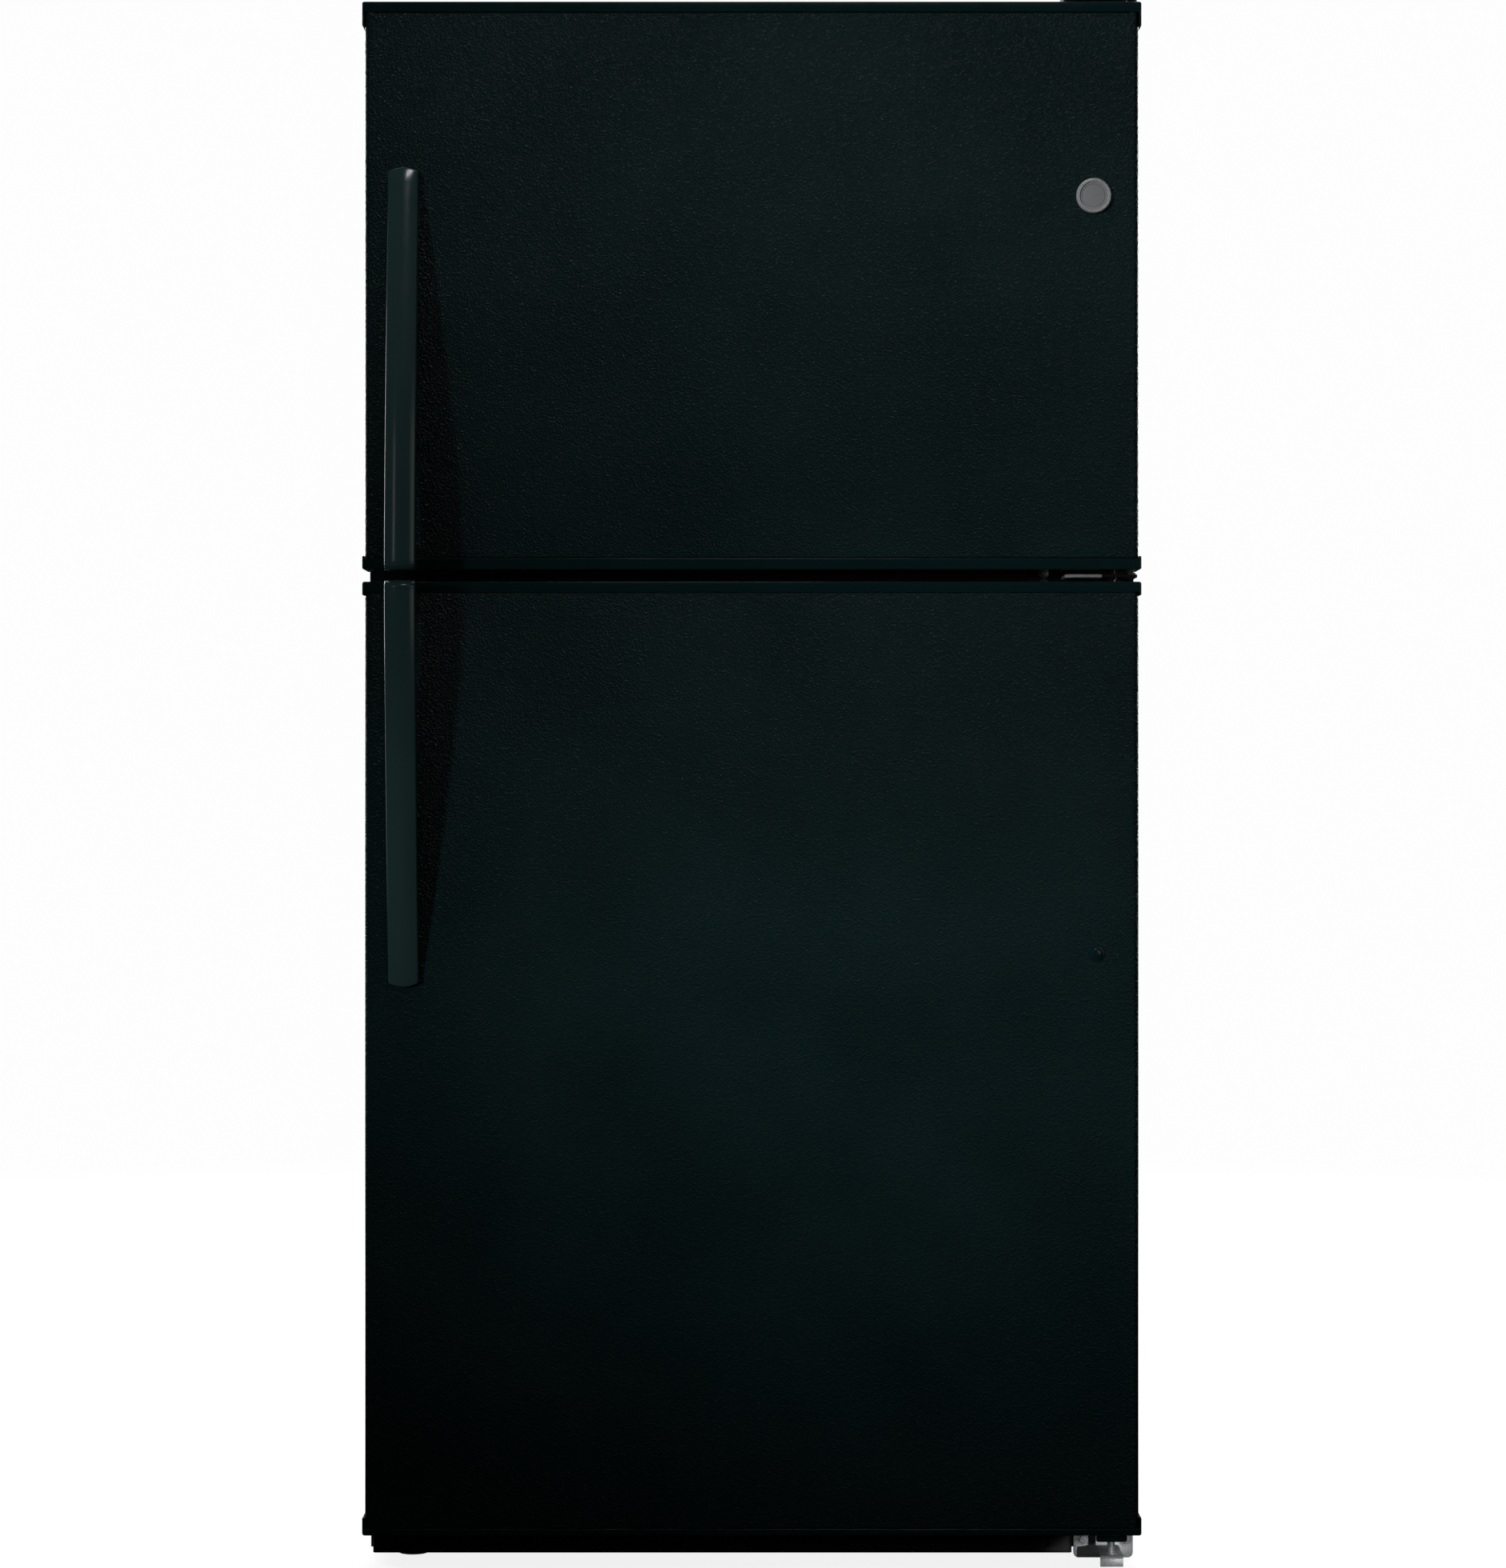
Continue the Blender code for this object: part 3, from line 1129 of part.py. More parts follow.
def evaporator():
    """Coil and fan behind a slotted panel at the back of the freezer."""
    half = CAVITY_HALF - 0.004
    low = (-half, EVAPORATOR_COVER, FREEZER_FLOOR + 0.002)
    high = (half, EVAPORATOR_COVER + COVER_SHEET, FREEZER_CEILING - 0.002)
    panel = block("evaporator_cover", low, high, white_liner())
    through = 3 * COVER_SHEET
    drill(panel, (0, EVAPORATOR_COVER, EVAPORATOR_FAN_Z), EVAPORATOR_FAN_HOLE, 2 * through, "Y")
    slot_low, slot_high = AIR_SLOT_LEVELS
    boxes = []
    for i in range(AIR_SLOTS):
        start = (i - AIR_SLOTS / 2) * AIR_SLOT_PITCH
        boxes.append(((start + AIR_SLOT_RIB, low[1] - through, low[2] + slot_low),
                      (start + AIR_SLOT_PITCH - AIR_SLOT_RIB, high[1] + through, low[2] + slot_high)))
    cut_boxes(panel, boxes)
    fan_y = EVAPORATOR_COVER + EVAPORATOR_FAN_BEHIND
    motor_front = fan_y + 0.012
    reach = EVAPORATOR_FAN_RADIUS + 0.020
    for side in (-1, 1):
        post = sorted((EVAPORATOR_FAN_Z + side * (reach - 0.008), EVAPORATOR_FAN_Z + side * reach))
        join_boxes(panel, [((-MOTOR_BAR_HALF, high[1] - 0.001, post[0]),
                            (MOTOR_BAR_HALF, motor_front + MOTOR_BAR / 2, post[1]))])
    join_boxes(panel, [((-MOTOR_BAR_HALF, motor_front, EVAPORATOR_FAN_Z - reach + 0.001),
                        (MOTOR_BAR_HALF, motor_front + MOTOR_BAR, EVAPORATOR_FAN_Z + reach - 0.001))])
    add_pin(panel, (0, motor_front + 0.010, EVAPORATOR_FAN_Z), MOTOR_RADIUS, MOTOR_LENGTH, "Y")
    add_pin(panel, (0, fan_y + 0.006, EVAPORATOR_FAN_Z), FAN_SPINDLE, 0.020, "Y")
    fan("evaporator_fan_blade", (0, fan_y, EVAPORATOR_FAN_Z), EVAPORATOR_FAN_RADIUS, "Y")
    points = serpentine((-COIL_HALF, FREEZER_FLOOR + 0.060), (COIL_HALF, FREEZER_CEILING - 0.210),
                        COIL_PASSES, EVAPORATOR_COVER + COIL_BEHIND)
    tube_from_points("evaporator_coil", points, COIL_TUBE, aluminium())


def fan(name, place, radius, axis):
    """Propeller on a bored hub. It turns about the named axis."""
    bore = FAN_SPINDLE + PIN_CLEARANCE
    half = FAN_HUB_DEPTH / 2
    profile = [(bore, half), (FAN_HUB_RADIUS, half), (FAN_HUB_RADIUS, -half), (bore, -half), (bore, half)]
    made = turned(name, profile, black_plastic(), place, axis, SMALL_STEPS)
    where = Matrix.Translation(place) @ AXIS_TURNS[axis]
    bm = bmesh.new()
    for i in range(FAN_BLADES):
        verts = add_box(bm, (FAN_HUB_RADIUS * 0.75, -FAN_BLADE_HALF, -0.001), (radius, FAN_BLADE_HALF, 0.001))
        twist = Matrix.Rotation(math.radians(FAN_BLADE_TWIST), 4, "X")
        spin = Matrix.Rotation(2 * math.pi * i / FAN_BLADES, 4, "Z")
        bmesh.ops.transform(bm, matrix=where @ spin @ twist, verts=verts)
    boolean(made, put(name + "_vanes", bm, None), "UNION")
    return made


COMPRESSOR_PLACE = (0.225, MACHINE_FRONT + 0.108, CHASSIS_TOP + GAP)
COMPRESSOR_RADIUS = 0.078
COMPRESSOR_HEIGHT = 0.165
COMPRESSOR_DOME = 0.035
COMPRESSOR_LIFT = 0.016
FOOT_PLATE = (0.095, 0.050)  # half its length and half its width
FOOT_PLATE_BOTTOM = 0.012
FOOT_PLACE = (0.080, 0.038)
FOOT_RADIUS = 0.009
FOOT_HEIGHT = 0.014


def compressor():
    """Welded steel pod on a foot plate."""
    x, y, floor = COMPRESSOR_PLACE
    radius, height, dome, lift = COMPRESSOR_RADIUS, COMPRESSOR_HEIGHT, COMPRESSOR_DOME, COMPRESSOR_LIFT
    plate_x, plate_y = FOOT_PLATE
    top = [(radius * math.sin(t), height - dome + dome * math.cos(t))
           for t in (math.radians(a) for a in range(0, 91, 18))]
    base = [(radius, dome), (radius * 0.92, dome * 0.3), (radius * 0.6, 0.0), (0.0, 0.0)]
    made = turned("compressor", top + base, black_plastic(), (x, y, floor + lift), "Z", ROUND_STEPS)
    made.data.materials.clear()
    made.data.materials.append(look("compressor_black", (0.02, 0.02, 0.02), 0.35))
    join_boxes(made, [((x - plate_x, y - plate_y, floor + FOOT_PLATE_BOTTOM),
                       (x + plate_x, y + plate_y, floor + lift + 0.004))])
    feet = [(x + a * FOOT_PLACE[0], y + b * FOOT_PLACE[1]) for a in (-1, 1) for b in (-1, 1)]
    for foot_x, foot_y in feet:
        add_pin(made, (foot_x, foot_y, floor + FOOT_HEIGHT / 2), FOOT_RADIUS, FOOT_HEIGHT, "Z", 12)
    return made


CONDENSER_FAN_X = 0.070
CONDENSER_FAN_RADIUS = 0.075
CONDENSER_FAN_RISE = 0.110  # above the chassis
CONDENSER_MOTOR = (0.024, 0.036)  # radius and length
CONDENSER_MOTOR_BACK = 0.034
MOTOR_LEG_HALF = (0.006, 0.012)
MOTOR_BASE = (0.030, 0.010, 0.030)  # to the left, to the right, and half its width
MOTOR_BASE_SHEET = 0.002
CONDENSER_SPINDLE = 0.044
CONDENSER_TUBE = 0.004
CONDENSER_PASSES = 9
CONDENSER_COIL_LEFT = 0.056 - CASE_HALF
CONDENSER_COIL_RIGHT = -0.060


def condenser():
    """Coil in front of a fan and its motor, in the machine compartment."""
    level = CHASSIS_TOP + CONDENSER_FAN_RISE
    floor = CHASSIS_TOP + GAP
    middle_y = MACHINE_FRONT + 0.105
    fan("condenser_fan_blade", (CONDENSER_FAN_X, middle_y, level), CONDENSER_FAN_RADIUS, "X")
    motor_x = CONDENSER_FAN_X - CONDENSER_MOTOR_BACK
    radius, length = CONDENSER_MOTOR
    motor = put("condenser_fan_motor", cylinder_mesh((motor_x, middle_y, level), radius, length, "X"), zinc(),
                (motor_x, middle_y, level))
    leg_x, leg_y = MOTOR_LEG_HALF
    join_boxes(motor, [((motor_x - leg_x, middle_y - leg_y, floor),
                        (motor_x + leg_x, middle_y + leg_y, level - 0.010))])
    left, right, half = MOTOR_BASE
    join_boxes(motor, [((motor_x - left, middle_y - half, floor),
                        (motor_x + right, middle_y + half, floor + MOTOR_BASE_SHEET))])
    spindle_x = motor_x + CONDENSER_SPINDLE / 2 + 0.00025
    add_pin(motor, (spindle_x, middle_y, level), FAN_SPINDLE, CONDENSER_SPINDLE, "X")
    lowest = (CONDENSER_COIL_LEFT, CHASSIS_TOP + 0.050)
    highest = (CONDENSER_COIL_RIGHT, MACHINE_TOP - 0.030)
    points = serpentine(lowest, highest, CONDENSER_PASSES, MACHINE_FRONT + 0.060)
    tube_from_points("condenser_coil", points, CONDENSER_TUBE, look("painted_coil", (0.02, 0.02, 0.02), 0.5))


DRAIN_PAN_LEFT = 0.031 - CASE_HALF
DRAIN_PAN_RIGHT = -0.045
DRAIN_PAN_HEIGHT = 0.034


def drain_pan():
    """Tray for the defrost water, on the chassis under the condenser."""
    bm = box_mesh((DRAIN_PAN_LEFT, MACHINE_FRONT + 0.020, CHASSIS_TOP + GAP),
                  (DRAIN_PAN_RIGHT, BACK - MACHINE_COVER_INSET - 0.030, CHASSIS_TOP + DRAIN_PAN_HEIGHT))
    bmesh.ops.delete(bm, geom=faces_facing(bm, (0, 0, 1)), context="FACES")
    return solid_wall(put("drain_pan", bm, black_plastic()), BIN_WALL)


INLET_X = 0.116 - CASE_HALF
INLET_Z = 0.230
INLET_RADIUS = 0.013
INLET_BORE = 0.0045
COVER_BOARD = 0.0015
COVER_SLOTS = 7
COVER_SLOT_PITCH = 0.085
COVER_SLOT_RIB = 0.008
COVER_SLOT_HEIGHT = 0.008
COVER_SLOT_LEVELS = (0.095, 0.120, 0.145, 0.170)


def machine_cover():
    """Slotted panel over the machine compartment, with the cord's grommet in it."""
    back = BACK - MACHINE_COVER_INSET
    low = (-INNER_HALF, back - COVER_BOARD, CHASSIS_TOP - 0.020)
    high = (INNER_HALF, back, MACHINE_TOP - GAP)
    made = block("machine_cover", low, high, look("cover_board", (0.05, 0.05, 0.05), 0.85))
    through = 5 * COVER_BOARD
    boxes = []
    for i in range(COVER_SLOTS):
        start = (i - COVER_SLOTS / 2) * COVER_SLOT_PITCH
        end = start + COVER_SLOT_PITCH - COVER_SLOT_RIB
        for level in COVER_SLOT_LEVELS:
            boxes.append(((start + COVER_SLOT_RIB, back - through, level),
                          (end, back + through, level + COVER_SLOT_HEIGHT)))
    cut_boxes(made, boxes)
    drill(made, (INLET_X, back, INLET_Z), INLET_RADIUS + GAP, 2 * through, "Y")
    flange, lip = INLET_RADIUS + 0.004, 0.0025
    behind = COVER_BOARD + GAP
    profile = [(INLET_BORE, 0.008), (INLET_RADIUS - 0.003, 0.008), (INLET_RADIUS - 0.001, 0.006),
               (flange, lip + GAP), (flange, GAP), (INLET_RADIUS, GAP), (INLET_RADIUS, -behind),
               (flange, -behind), (flange, -behind - lip), (INLET_BORE, -behind - lip), (INLET_BORE, 0.008)]
    turned("power_cord_grommet", profile, dark_rubber(), (INLET_X, back, INLET_Z), "Y", ROUND_STEPS)


def main():
    clear_scene()
    cabinet_wrapper()
    cabinet_back_panel()
    liners()
    center_mullion()
    cabinet_insulation()
    base_chassis()
    base_grille()
    rear_wheels()
    leveling_legs()
    top_hinge()
    top_hinge_cover()
    center_hinge()
    bottom_hinge()
    freezer_door()
    fridge_door()
    shelves()
    crisper_drawers()
    control_housing()
    light_switch_plunger()
    evaporator()
    compressor()
    condenser()
    drain_pan()
    machine_cover()


main()
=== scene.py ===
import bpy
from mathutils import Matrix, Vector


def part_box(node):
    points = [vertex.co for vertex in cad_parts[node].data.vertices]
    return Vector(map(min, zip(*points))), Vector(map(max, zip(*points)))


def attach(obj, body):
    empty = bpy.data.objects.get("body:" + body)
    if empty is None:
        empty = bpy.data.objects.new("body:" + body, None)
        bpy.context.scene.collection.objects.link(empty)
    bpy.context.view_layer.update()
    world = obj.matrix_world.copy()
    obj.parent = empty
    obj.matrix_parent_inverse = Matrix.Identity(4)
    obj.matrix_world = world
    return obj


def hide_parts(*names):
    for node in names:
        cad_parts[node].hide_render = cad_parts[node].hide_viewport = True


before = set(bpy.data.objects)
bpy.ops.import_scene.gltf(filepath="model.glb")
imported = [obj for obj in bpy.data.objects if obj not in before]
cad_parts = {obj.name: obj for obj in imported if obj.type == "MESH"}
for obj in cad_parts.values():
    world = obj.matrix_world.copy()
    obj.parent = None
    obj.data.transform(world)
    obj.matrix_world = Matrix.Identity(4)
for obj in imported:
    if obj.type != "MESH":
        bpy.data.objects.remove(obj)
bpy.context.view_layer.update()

import math

import bmesh
import bpy
from mathutils import Vector

acrossX, alongY, upZ = 0, 1, 2  # axis numbers
near = 2e-5
print("frame loaded with", len(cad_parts), "nodes")


def clearSelection():
    if bpy.context.mode != "OBJECT":
        bpy.ops.object.mode_set(mode="OBJECT")
    bpy.ops.object.select_all(action="DESELECT")


def takeUp(piece):
    clearSelection()
    bpy.context.view_layer.objects.active = piece
    piece.select_set(True)


def nameIt(name):
    piece = bpy.context.active_object
    piece.name = piece.data.name = name
    bpy.ops.object.transform_apply(location=True, rotation=True, scale=True)
    return piece


def addBlock(name, low, high):
    clearSelection()
    low, high = Vector(low), Vector(high)
    bpy.ops.mesh.primitive_cube_add(size=1, location=(low + high) / 2)
    bpy.context.active_object.scale = high - low
    return nameIt(name)


def choose(piece, kind, test=lambda part: True):
    if bpy.context.mode != "EDIT_MESH" or bpy.context.view_layer.objects.active != piece:
        takeUp(piece)
        bpy.ops.object.mode_set(mode="EDIT")
    bpy.ops.mesh.select_mode(type=kind)
    bpy.ops.mesh.select_all(action="DESELECT")
    shape = bmesh.from_edit_mesh(piece.data)
    shape.normal_update()
    for part in {"VERT": shape.verts, "EDGE": shape.edges, "FACE": shape.faces}[kind]:
        if test(part):
            part.select_set(True)
    shape.select_flush_mode()
    bmesh.update_edit_mesh(piece.data)


def cornersOf(part):
    return [part.co] if isinstance(part, bmesh.types.BMVert) else [corner.co for corner in part.verts]


def onPlane(axis, level):
    return lambda part: all(abs(spot[axis] - level) < near for spot in cornersOf(part))


def parallel(axis, plane=None, level=0.0):  # edges along an axis, and in a plane if one is given
    def test(edge):
        run = edge.verts[1].co - edge.verts[0].co
        return abs(run[axis]) > 0.999 * run.length and (plane is None or onPlane(plane, level)(edge))
    return test


def facing(axis, way):
    return lambda face: face.normal[axis] * way > 0.99


def folded(axis, level):  # edges in a plane where a wall stands on it
    return lambda edge: (onPlane(axis, level)(edge) and len(edge.link_faces) == 2
                         and any(abs(face.normal[axis]) < 0.5 for face in edge.link_faces))


def sharp(above):
    return lambda edge: len(edge.link_faces) == 2 and edge.calc_face_angle(0) > above


def loose(edge):
    return len(edge.link_faces) == 1


def both(*tests):
    return lambda part: all(test(part) for test in tests)


def within(axis, reach):  # all corners nearer to the middle than this
    return lambda part: all(abs(spot[axis]) < reach for spot in cornersOf(part))


def roundEdges(piece, test, width, steps=4):
    choose(piece, "EDGE", test)
    bpy.ops.mesh.bevel(offset=width, segments=steps, affect="EDGES", clamp_overlap=True)


def insetFaces(piece, test, width, depth=0.0, apart=False):
    choose(piece, "FACE", test)
    bpy.ops.mesh.inset(thickness=width, depth=depth, use_individual=apart)


def dropFaces(piece, test):
    choose(piece, "FACE", test)
    bpy.ops.mesh.delete(type="FACE")


def moveCorners(piece, test, move):
    choose(piece, "VERT", test)
    bpy.ops.transform.translate(value=move)


def extrude(move=(0, 0, 0)):
    bpy.ops.mesh.extrude_region_move(TRANSFORM_OT_translate={"value": move})


def stretch(scale, centre):
    bpy.ops.transform.resize(value=scale, center_override=centre)


def turnAbout(piece, angle, centre):
    choose(piece, "VERT")
    bpy.ops.transform.rotate(value=angle, orient_axis="Y", center_override=centre)


def sliceAt(piece, axis, levels):
    for level in levels:
        choose(piece, "FACE")
        place, across = [0, 0, 0], [0, 0, 0]
        place[axis], across[axis] = level, 1
        bpy.ops.mesh.bisect(plane_co=place, plane_no=across)


def mend(piece):
    choose(piece, "VERT")
    bpy.ops.mesh.remove_doubles(threshold=1e-6)
    bpy.ops.mesh.normals_make_consistent(inside=False)


def traceLine(name, points, closed=False):  # corner after corner, as one extrudes a line by hand
    clearSelection()
    bpy.ops.mesh.primitive_plane_add(size=0.01)
    line = nameIt(name)
    choose(line, "VERT")
    bpy.ops.mesh.merge(type="CENTER")
    bpy.ops.transform.translate(value=points[0])
    for before, after in zip(points, points[1:]):
        extrude(Vector(after) - Vector(before))
    if closed:
        choose(line, "VERT")
        bpy.ops.mesh.edge_face_add()
    return line


def sweepLine(name, points, move):
    piece = traceLine(name, points, closed=True)
    choose(piece, "VERT")
    extrude(move)
    mend(piece)
    return piece


def turnPiece(name, centre, axis, profile, steps=48):  # profile is (radius, along the axis)
    lift = {0: lambda r, a: (a, r, 0), 1: lambda r, a: (r, a, 0), 2: lambda r, a: (r, 0, a)}[axis]
    piece = traceLine(name, [Vector(centre) + Vector(lift(radius, along)) for radius, along in profile])
    choose(piece, "VERT")
    spinAxis = [0, 0, 0]
    spinAxis[axis] = 1
    bpy.ops.mesh.spin(steps=steps, angle=math.tau, center=centre, axis=spinAxis)
    mend(piece)
    return piece


def roundBar(name, centre, axis, radius, start, end, steps):
    return turnPiece(name, centre, axis, [(0, start), (radius, start), (radius, end), (0, end)], steps)


def useModifier(piece, kind, **settings):
    takeUp(piece)
    step = piece.modifiers.new(kind.lower(), kind)
    for key, value in settings.items():
        setattr(step, key, value)
    bpy.ops.object.modifier_apply(modifier=step.name)


def softenEdges(piece, width, steps=3, above=40):
    useModifier(piece, "BEVEL", width=width, segments=steps, limit_method="ANGLE",
                angle_limit=math.radians(above))


def thicken(piece, wall, even=True):
    quality = {"use_quality_normals": True} if even else {}
    useModifier(piece, "SOLIDIFY", thickness=wall, offset=-1, use_even_offset=even, **quality)


def cutWith(piece, *cutters, operation="DIFFERENCE"):
    for cutter in cutters:
        mend(cutter)
        clearSelection()
        useModifier(piece, "BOOLEAN", object=cutter, operation=operation, solver="EXACT")
        bpy.data.objects.remove(cutter)


def weld(piece, *others):
    cutWith(piece, *others, operation="UNION")


def joinPieces(pieces):
    clearSelection()
    for piece in pieces:
        piece.select_set(True)
    bpy.context.view_layer.objects.active = pieces[0]
    bpy.ops.object.join()
    return pieces[0]


def cutSlots(piece, boxes, axis, radius, steps):
    slots = [addBlock("slot", low, high) for low, high in boxes]
    for slot in slots:
        roundEdges(slot, parallel(axis), radius, steps)
    cutWith(piece, joinPieces(slots))


def copyOf(piece, name, shift):
    twin = piece.copy()
    twin.data = piece.data.copy()
    twin.name = twin.data.name = name
    bpy.context.scene.collection.objects.link(twin)
    takeUp(twin)
    twin.location = shift
    bpy.ops.object.transform_apply(location=True, rotation=True, scale=True)
    return twin


def finishPiece(piece, body, material, node=None, smooth=32):
    takeUp(piece)
    bpy.ops.object.shade_smooth_by_angle(angle=math.radians(smooth))
    piece.data.materials.clear()
    piece.data.materials.append(material)
    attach(piece, body)
    if node:
        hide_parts(node)


class Finish:
    def __init__(self, name, colour, roughness, metallic=0.0):
        self.material = bpy.data.materials.new(name)
        self.material.use_nodes = True
        self.tree = self.material.node_tree
        self.shader = self.tree.nodes["Principled BSDF"]
        self.place = self.tree.nodes.new("ShaderNodeTexCoord").outputs["Object"]
        self.set(Base_Color=(*colour, 1), Roughness=roughness, Metallic=metallic)
        self.height = None

    def node(self, kind, feeds, **values):  # feeds says what is linked to which socket
        made = self.tree.nodes.new("ShaderNode" + kind)
        for socket, value in values.items():
            made.inputs[socket.replace("_", " ")].default_value = value
        for socket, source in feeds.items():
            self.tree.links.new(source, made.inputs[socket])
        return made

    def noise(self, scale, detail):
        return self.node("TexNoise", {"Vector": self.place}, Scale=scale, Detail=detail).outputs["Fac"]

    def cells(self, scale, wobble):
        drift = self.node("TexNoise", {"Vector": self.place}, Scale=scale * 0.6)
        feeds = {"Color1": self.place, "Color2": drift.outputs["Color"]}
        shift = self.node("MixRGB", feeds, Fac=wobble / scale)
        shift.blend_type = "ADD"
        return self.node("TexVoronoi", {"Vector": shift.outputs["Color"]}, Scale=scale)

    def ramp(self, source, stops):
        node = self.node("ValToRGB", {"Fac": source})
        for element, (where, colour) in zip(node.color_ramp.elements, stops):
            element.position = where
            element.color = (*colour, 1)
        return node.outputs["Color"]

    def spread(self, source, low, high):
        node = self.node("MapRange", {"Value": source}, From_Min=0.3, From_Max=0.7, To_Min=low, To_Max=high)
        return node.outputs["Result"]

    def use(self, socket, source):
        self.tree.links.new(source, self.shader.inputs[socket])

    def relief(self, source, depth):
        feeds = {"Height": source, "Normal": self.height} if self.height else {"Height": source}
        self.height = self.node("Bump", feeds, Strength=1.0, Distance=depth).outputs["Normal"]
        self.use("Normal", self.height)

    def set(self, **values):
        for socket, value in values.items():
            self.shader.inputs[socket.replace("_", " ")].default_value = value


def grainedEnamel(name, roughness):
    look = enamelLook
    dark, pale, grain, depth = look["dark"], look["pale"], look["grain"], look["depth"]
    made = Finish(name, pale, roughness)
    pebbles = made.cells(grain, 0.8)
    pebbles.feature = "SMOOTH_F1"
    pebbles.inputs["Smoothness"].default_value = look["smoothness"]
    spread = look["roughnessSpread"]
    made.use("Base Color", made.ramp(made.noise(6, 4), [(0.35, dark), (0.68, pale)]))
    made.use("Roughness", made.spread(made.noise(38, 3), roughness - spread, roughness + spread))
    made.relief(pebbles.outputs["Distance"], depth)
    made.relief(made.noise(grain * 3.1, 2), depth * 0.22)
    made.set(Specular_IOR_Level=look["gloss"])
    return made.material


def mouldedPlastic(name, dark, pale, roughness, skin=0.00002, grain=420, coat=0.0):
    made = Finish(name, pale, roughness)
    made.use("Base Color", made.ramp(made.noise(9, 3), [(0.3, dark), (0.7, pale)]))
    made.use("Roughness", made.spread(made.noise(55, 4), roughness * 0.85, roughness * 1.18))
    made.relief(made.noise(grain, 2), skin)
    made.set(Coat_Weight=coat, Coat_Roughness=0.08)
    return made.material


def platedSteel(name, dark, pale, roughness, spangle, depth, metal=1.0):
    made = Finish(name, pale, roughness, metal)
    flakes = made.cells(spangle, 1.2)
    tone = made.node("RGBToBW", {"Color": flakes.outputs["Color"]}).outputs["Val"]
    made.use("Base Color", made.ramp(tone, [(0.2, dark), (0.8, pale)]))
    made.use("Roughness", made.spread(tone, roughness - 0.03, roughness + 0.03))
    made.relief(made.noise(spangle * 9, 3), depth)
    return made.material


def clearStuff(name, tint, roughness, opacity, ripple):
    made = Finish(name, tint, roughness)
    made.set(Alpha=opacity, IOR=1.5)
    made.use("Roughness", made.spread(made.noise(30, 3), roughness * 0.7, roughness * 1.5))
    made.use("Base Color", made.ramp(made.noise(14, 2), [(0.3, tuple(part * 0.94 for part in tint)), (0.7, tint)]))
    made.relief(made.noise(70, 2), ripple)
    return made.material


enamelLook = {"grain": 420, "depth": 0.0008, "dark": (0.0046, 0.0160, 0.0172), "pale": (0.0072, 0.0222, 0.0238),
              "smoothness": 0.35, "roughnessSpread": 0.035, "gloss": 0.32}
doorEnamel = grainedEnamel("grained door enamel", 0.21)
caseEnamel = grainedEnamel("grained case enamel", 0.42)
glossBlack = mouldedPlastic("gloss black plastic", (0.0034, 0.0158, 0.0166), (0.0047, 0.0195, 0.0206), 0.16,
                            0.000008, 260, 0.25)
# the handle's plastic is the gloss black of the caps made much lighter: the extra lightness is a painted reflection of
# a broad light on its crowned front
handleBlackAndPaintedSheen = mouldedPlastic("gloss handle plastic with painted sheen", (0.0300, 0.0640, 0.0650), (0.0350, 0.0720, 0.0730), 0.17,
                             0.000006, 240, 0.3)
mattBlack = mouldedPlastic("matt black plastic", (0.0025, 0.0030, 0.0030), (0.0045, 0.0050, 0.0050), 0.5,
                           0.00003, 900)
linerWhite = mouldedPlastic("white liner plastic", (0.74, 0.76, 0.77), (0.80, 0.815, 0.82), 0.3, 0.00003, 240)
whitePlastic = mouldedPlastic("white moulded plastic", (0.72, 0.74, 0.75), (0.79, 0.80, 0.81), 0.38, 0.00002, 700)
zincSteel = platedSteel("galvanised steel", (0.47, 0.48, 0.49), (0.56, 0.57, 0.58), 0.44, 95, 0.00001)
hingeSteel = platedSteel("grey plated hinge steel", (0.30, 0.325, 0.33), (0.46, 0.48, 0.485), 0.42, 900,
                         0.00003, 0.35)
screwSteel = platedSteel("zinc plated screws", (0.42, 0.43, 0.44), (0.62, 0.63, 0.64), 0.3, 1500, 0.00001)
chromeTrim = platedSteel("polished chrome", (0.66, 0.68, 0.69), (0.78, 0.79, 0.80), 0.26, 400, 0.000002, 0.5)
coilMetal = platedSteel("drawn aluminium", (0.58, 0.59, 0.60), (0.74, 0.75, 0.76), 0.36, 260, 0.00002)
badgeFace = mouldedPlastic("brushed badge face", (0.26, 0.27, 0.275), (0.38, 0.39, 0.395), 0.3, 0.00002, 1200)
blackPaintAndShade = mouldedPlastic("black painted steel", (0.010, 0.011, 0.011), (0.020, 0.021, 0.021), 0.38, 0.00003, 500)
gasketGrey = mouldedPlastic("grey gasket vinyl", (0.10, 0.105, 0.108), (0.15, 0.155, 0.158), 0.58, 0.00002, 500)
rubberBlack = mouldedPlastic("black rubber", (0.010, 0.010, 0.010), (0.020, 0.020, 0.020), 0.72, 0.00003, 800)
foamYellow = mouldedPlastic("foamed insulation", (0.55, 0.45, 0.22), (0.72, 0.62, 0.36), 0.9, 0.0006, 160)
boardBrown = mouldedPlastic("fibre board", (0.020, 0.019, 0.018), (0.050, 0.048, 0.045), 0.85, 0.0001, 1100)
clearPlastic = clearStuff("clear moulded plastic", (0.84, 0.90, 0.93), 0.10, 0.34, 0.00003)
shelfGlass = clearStuff("tempered shelf glass", (0.72, 0.86, 0.82), 0.04, 0.24, 0.000004)
markGrey = mouldedPlastic("grey printed marks", (0.10, 0.115, 0.125), (0.14, 0.155, 0.165), 0.5)
print("finishes mixed")


hinge = {"x": 0.3865, "y": -0.3455, "radius": 0.004, "caseFront": -0.2925, "gap": 0.0003}  # what all hinges share

skinSizes = {"frontRadius": 0.006, "backRadius": 0.003, "flange": 0.010, "hem": 0.0012, "lip": 0.004,
             "sheet": 0.0008}


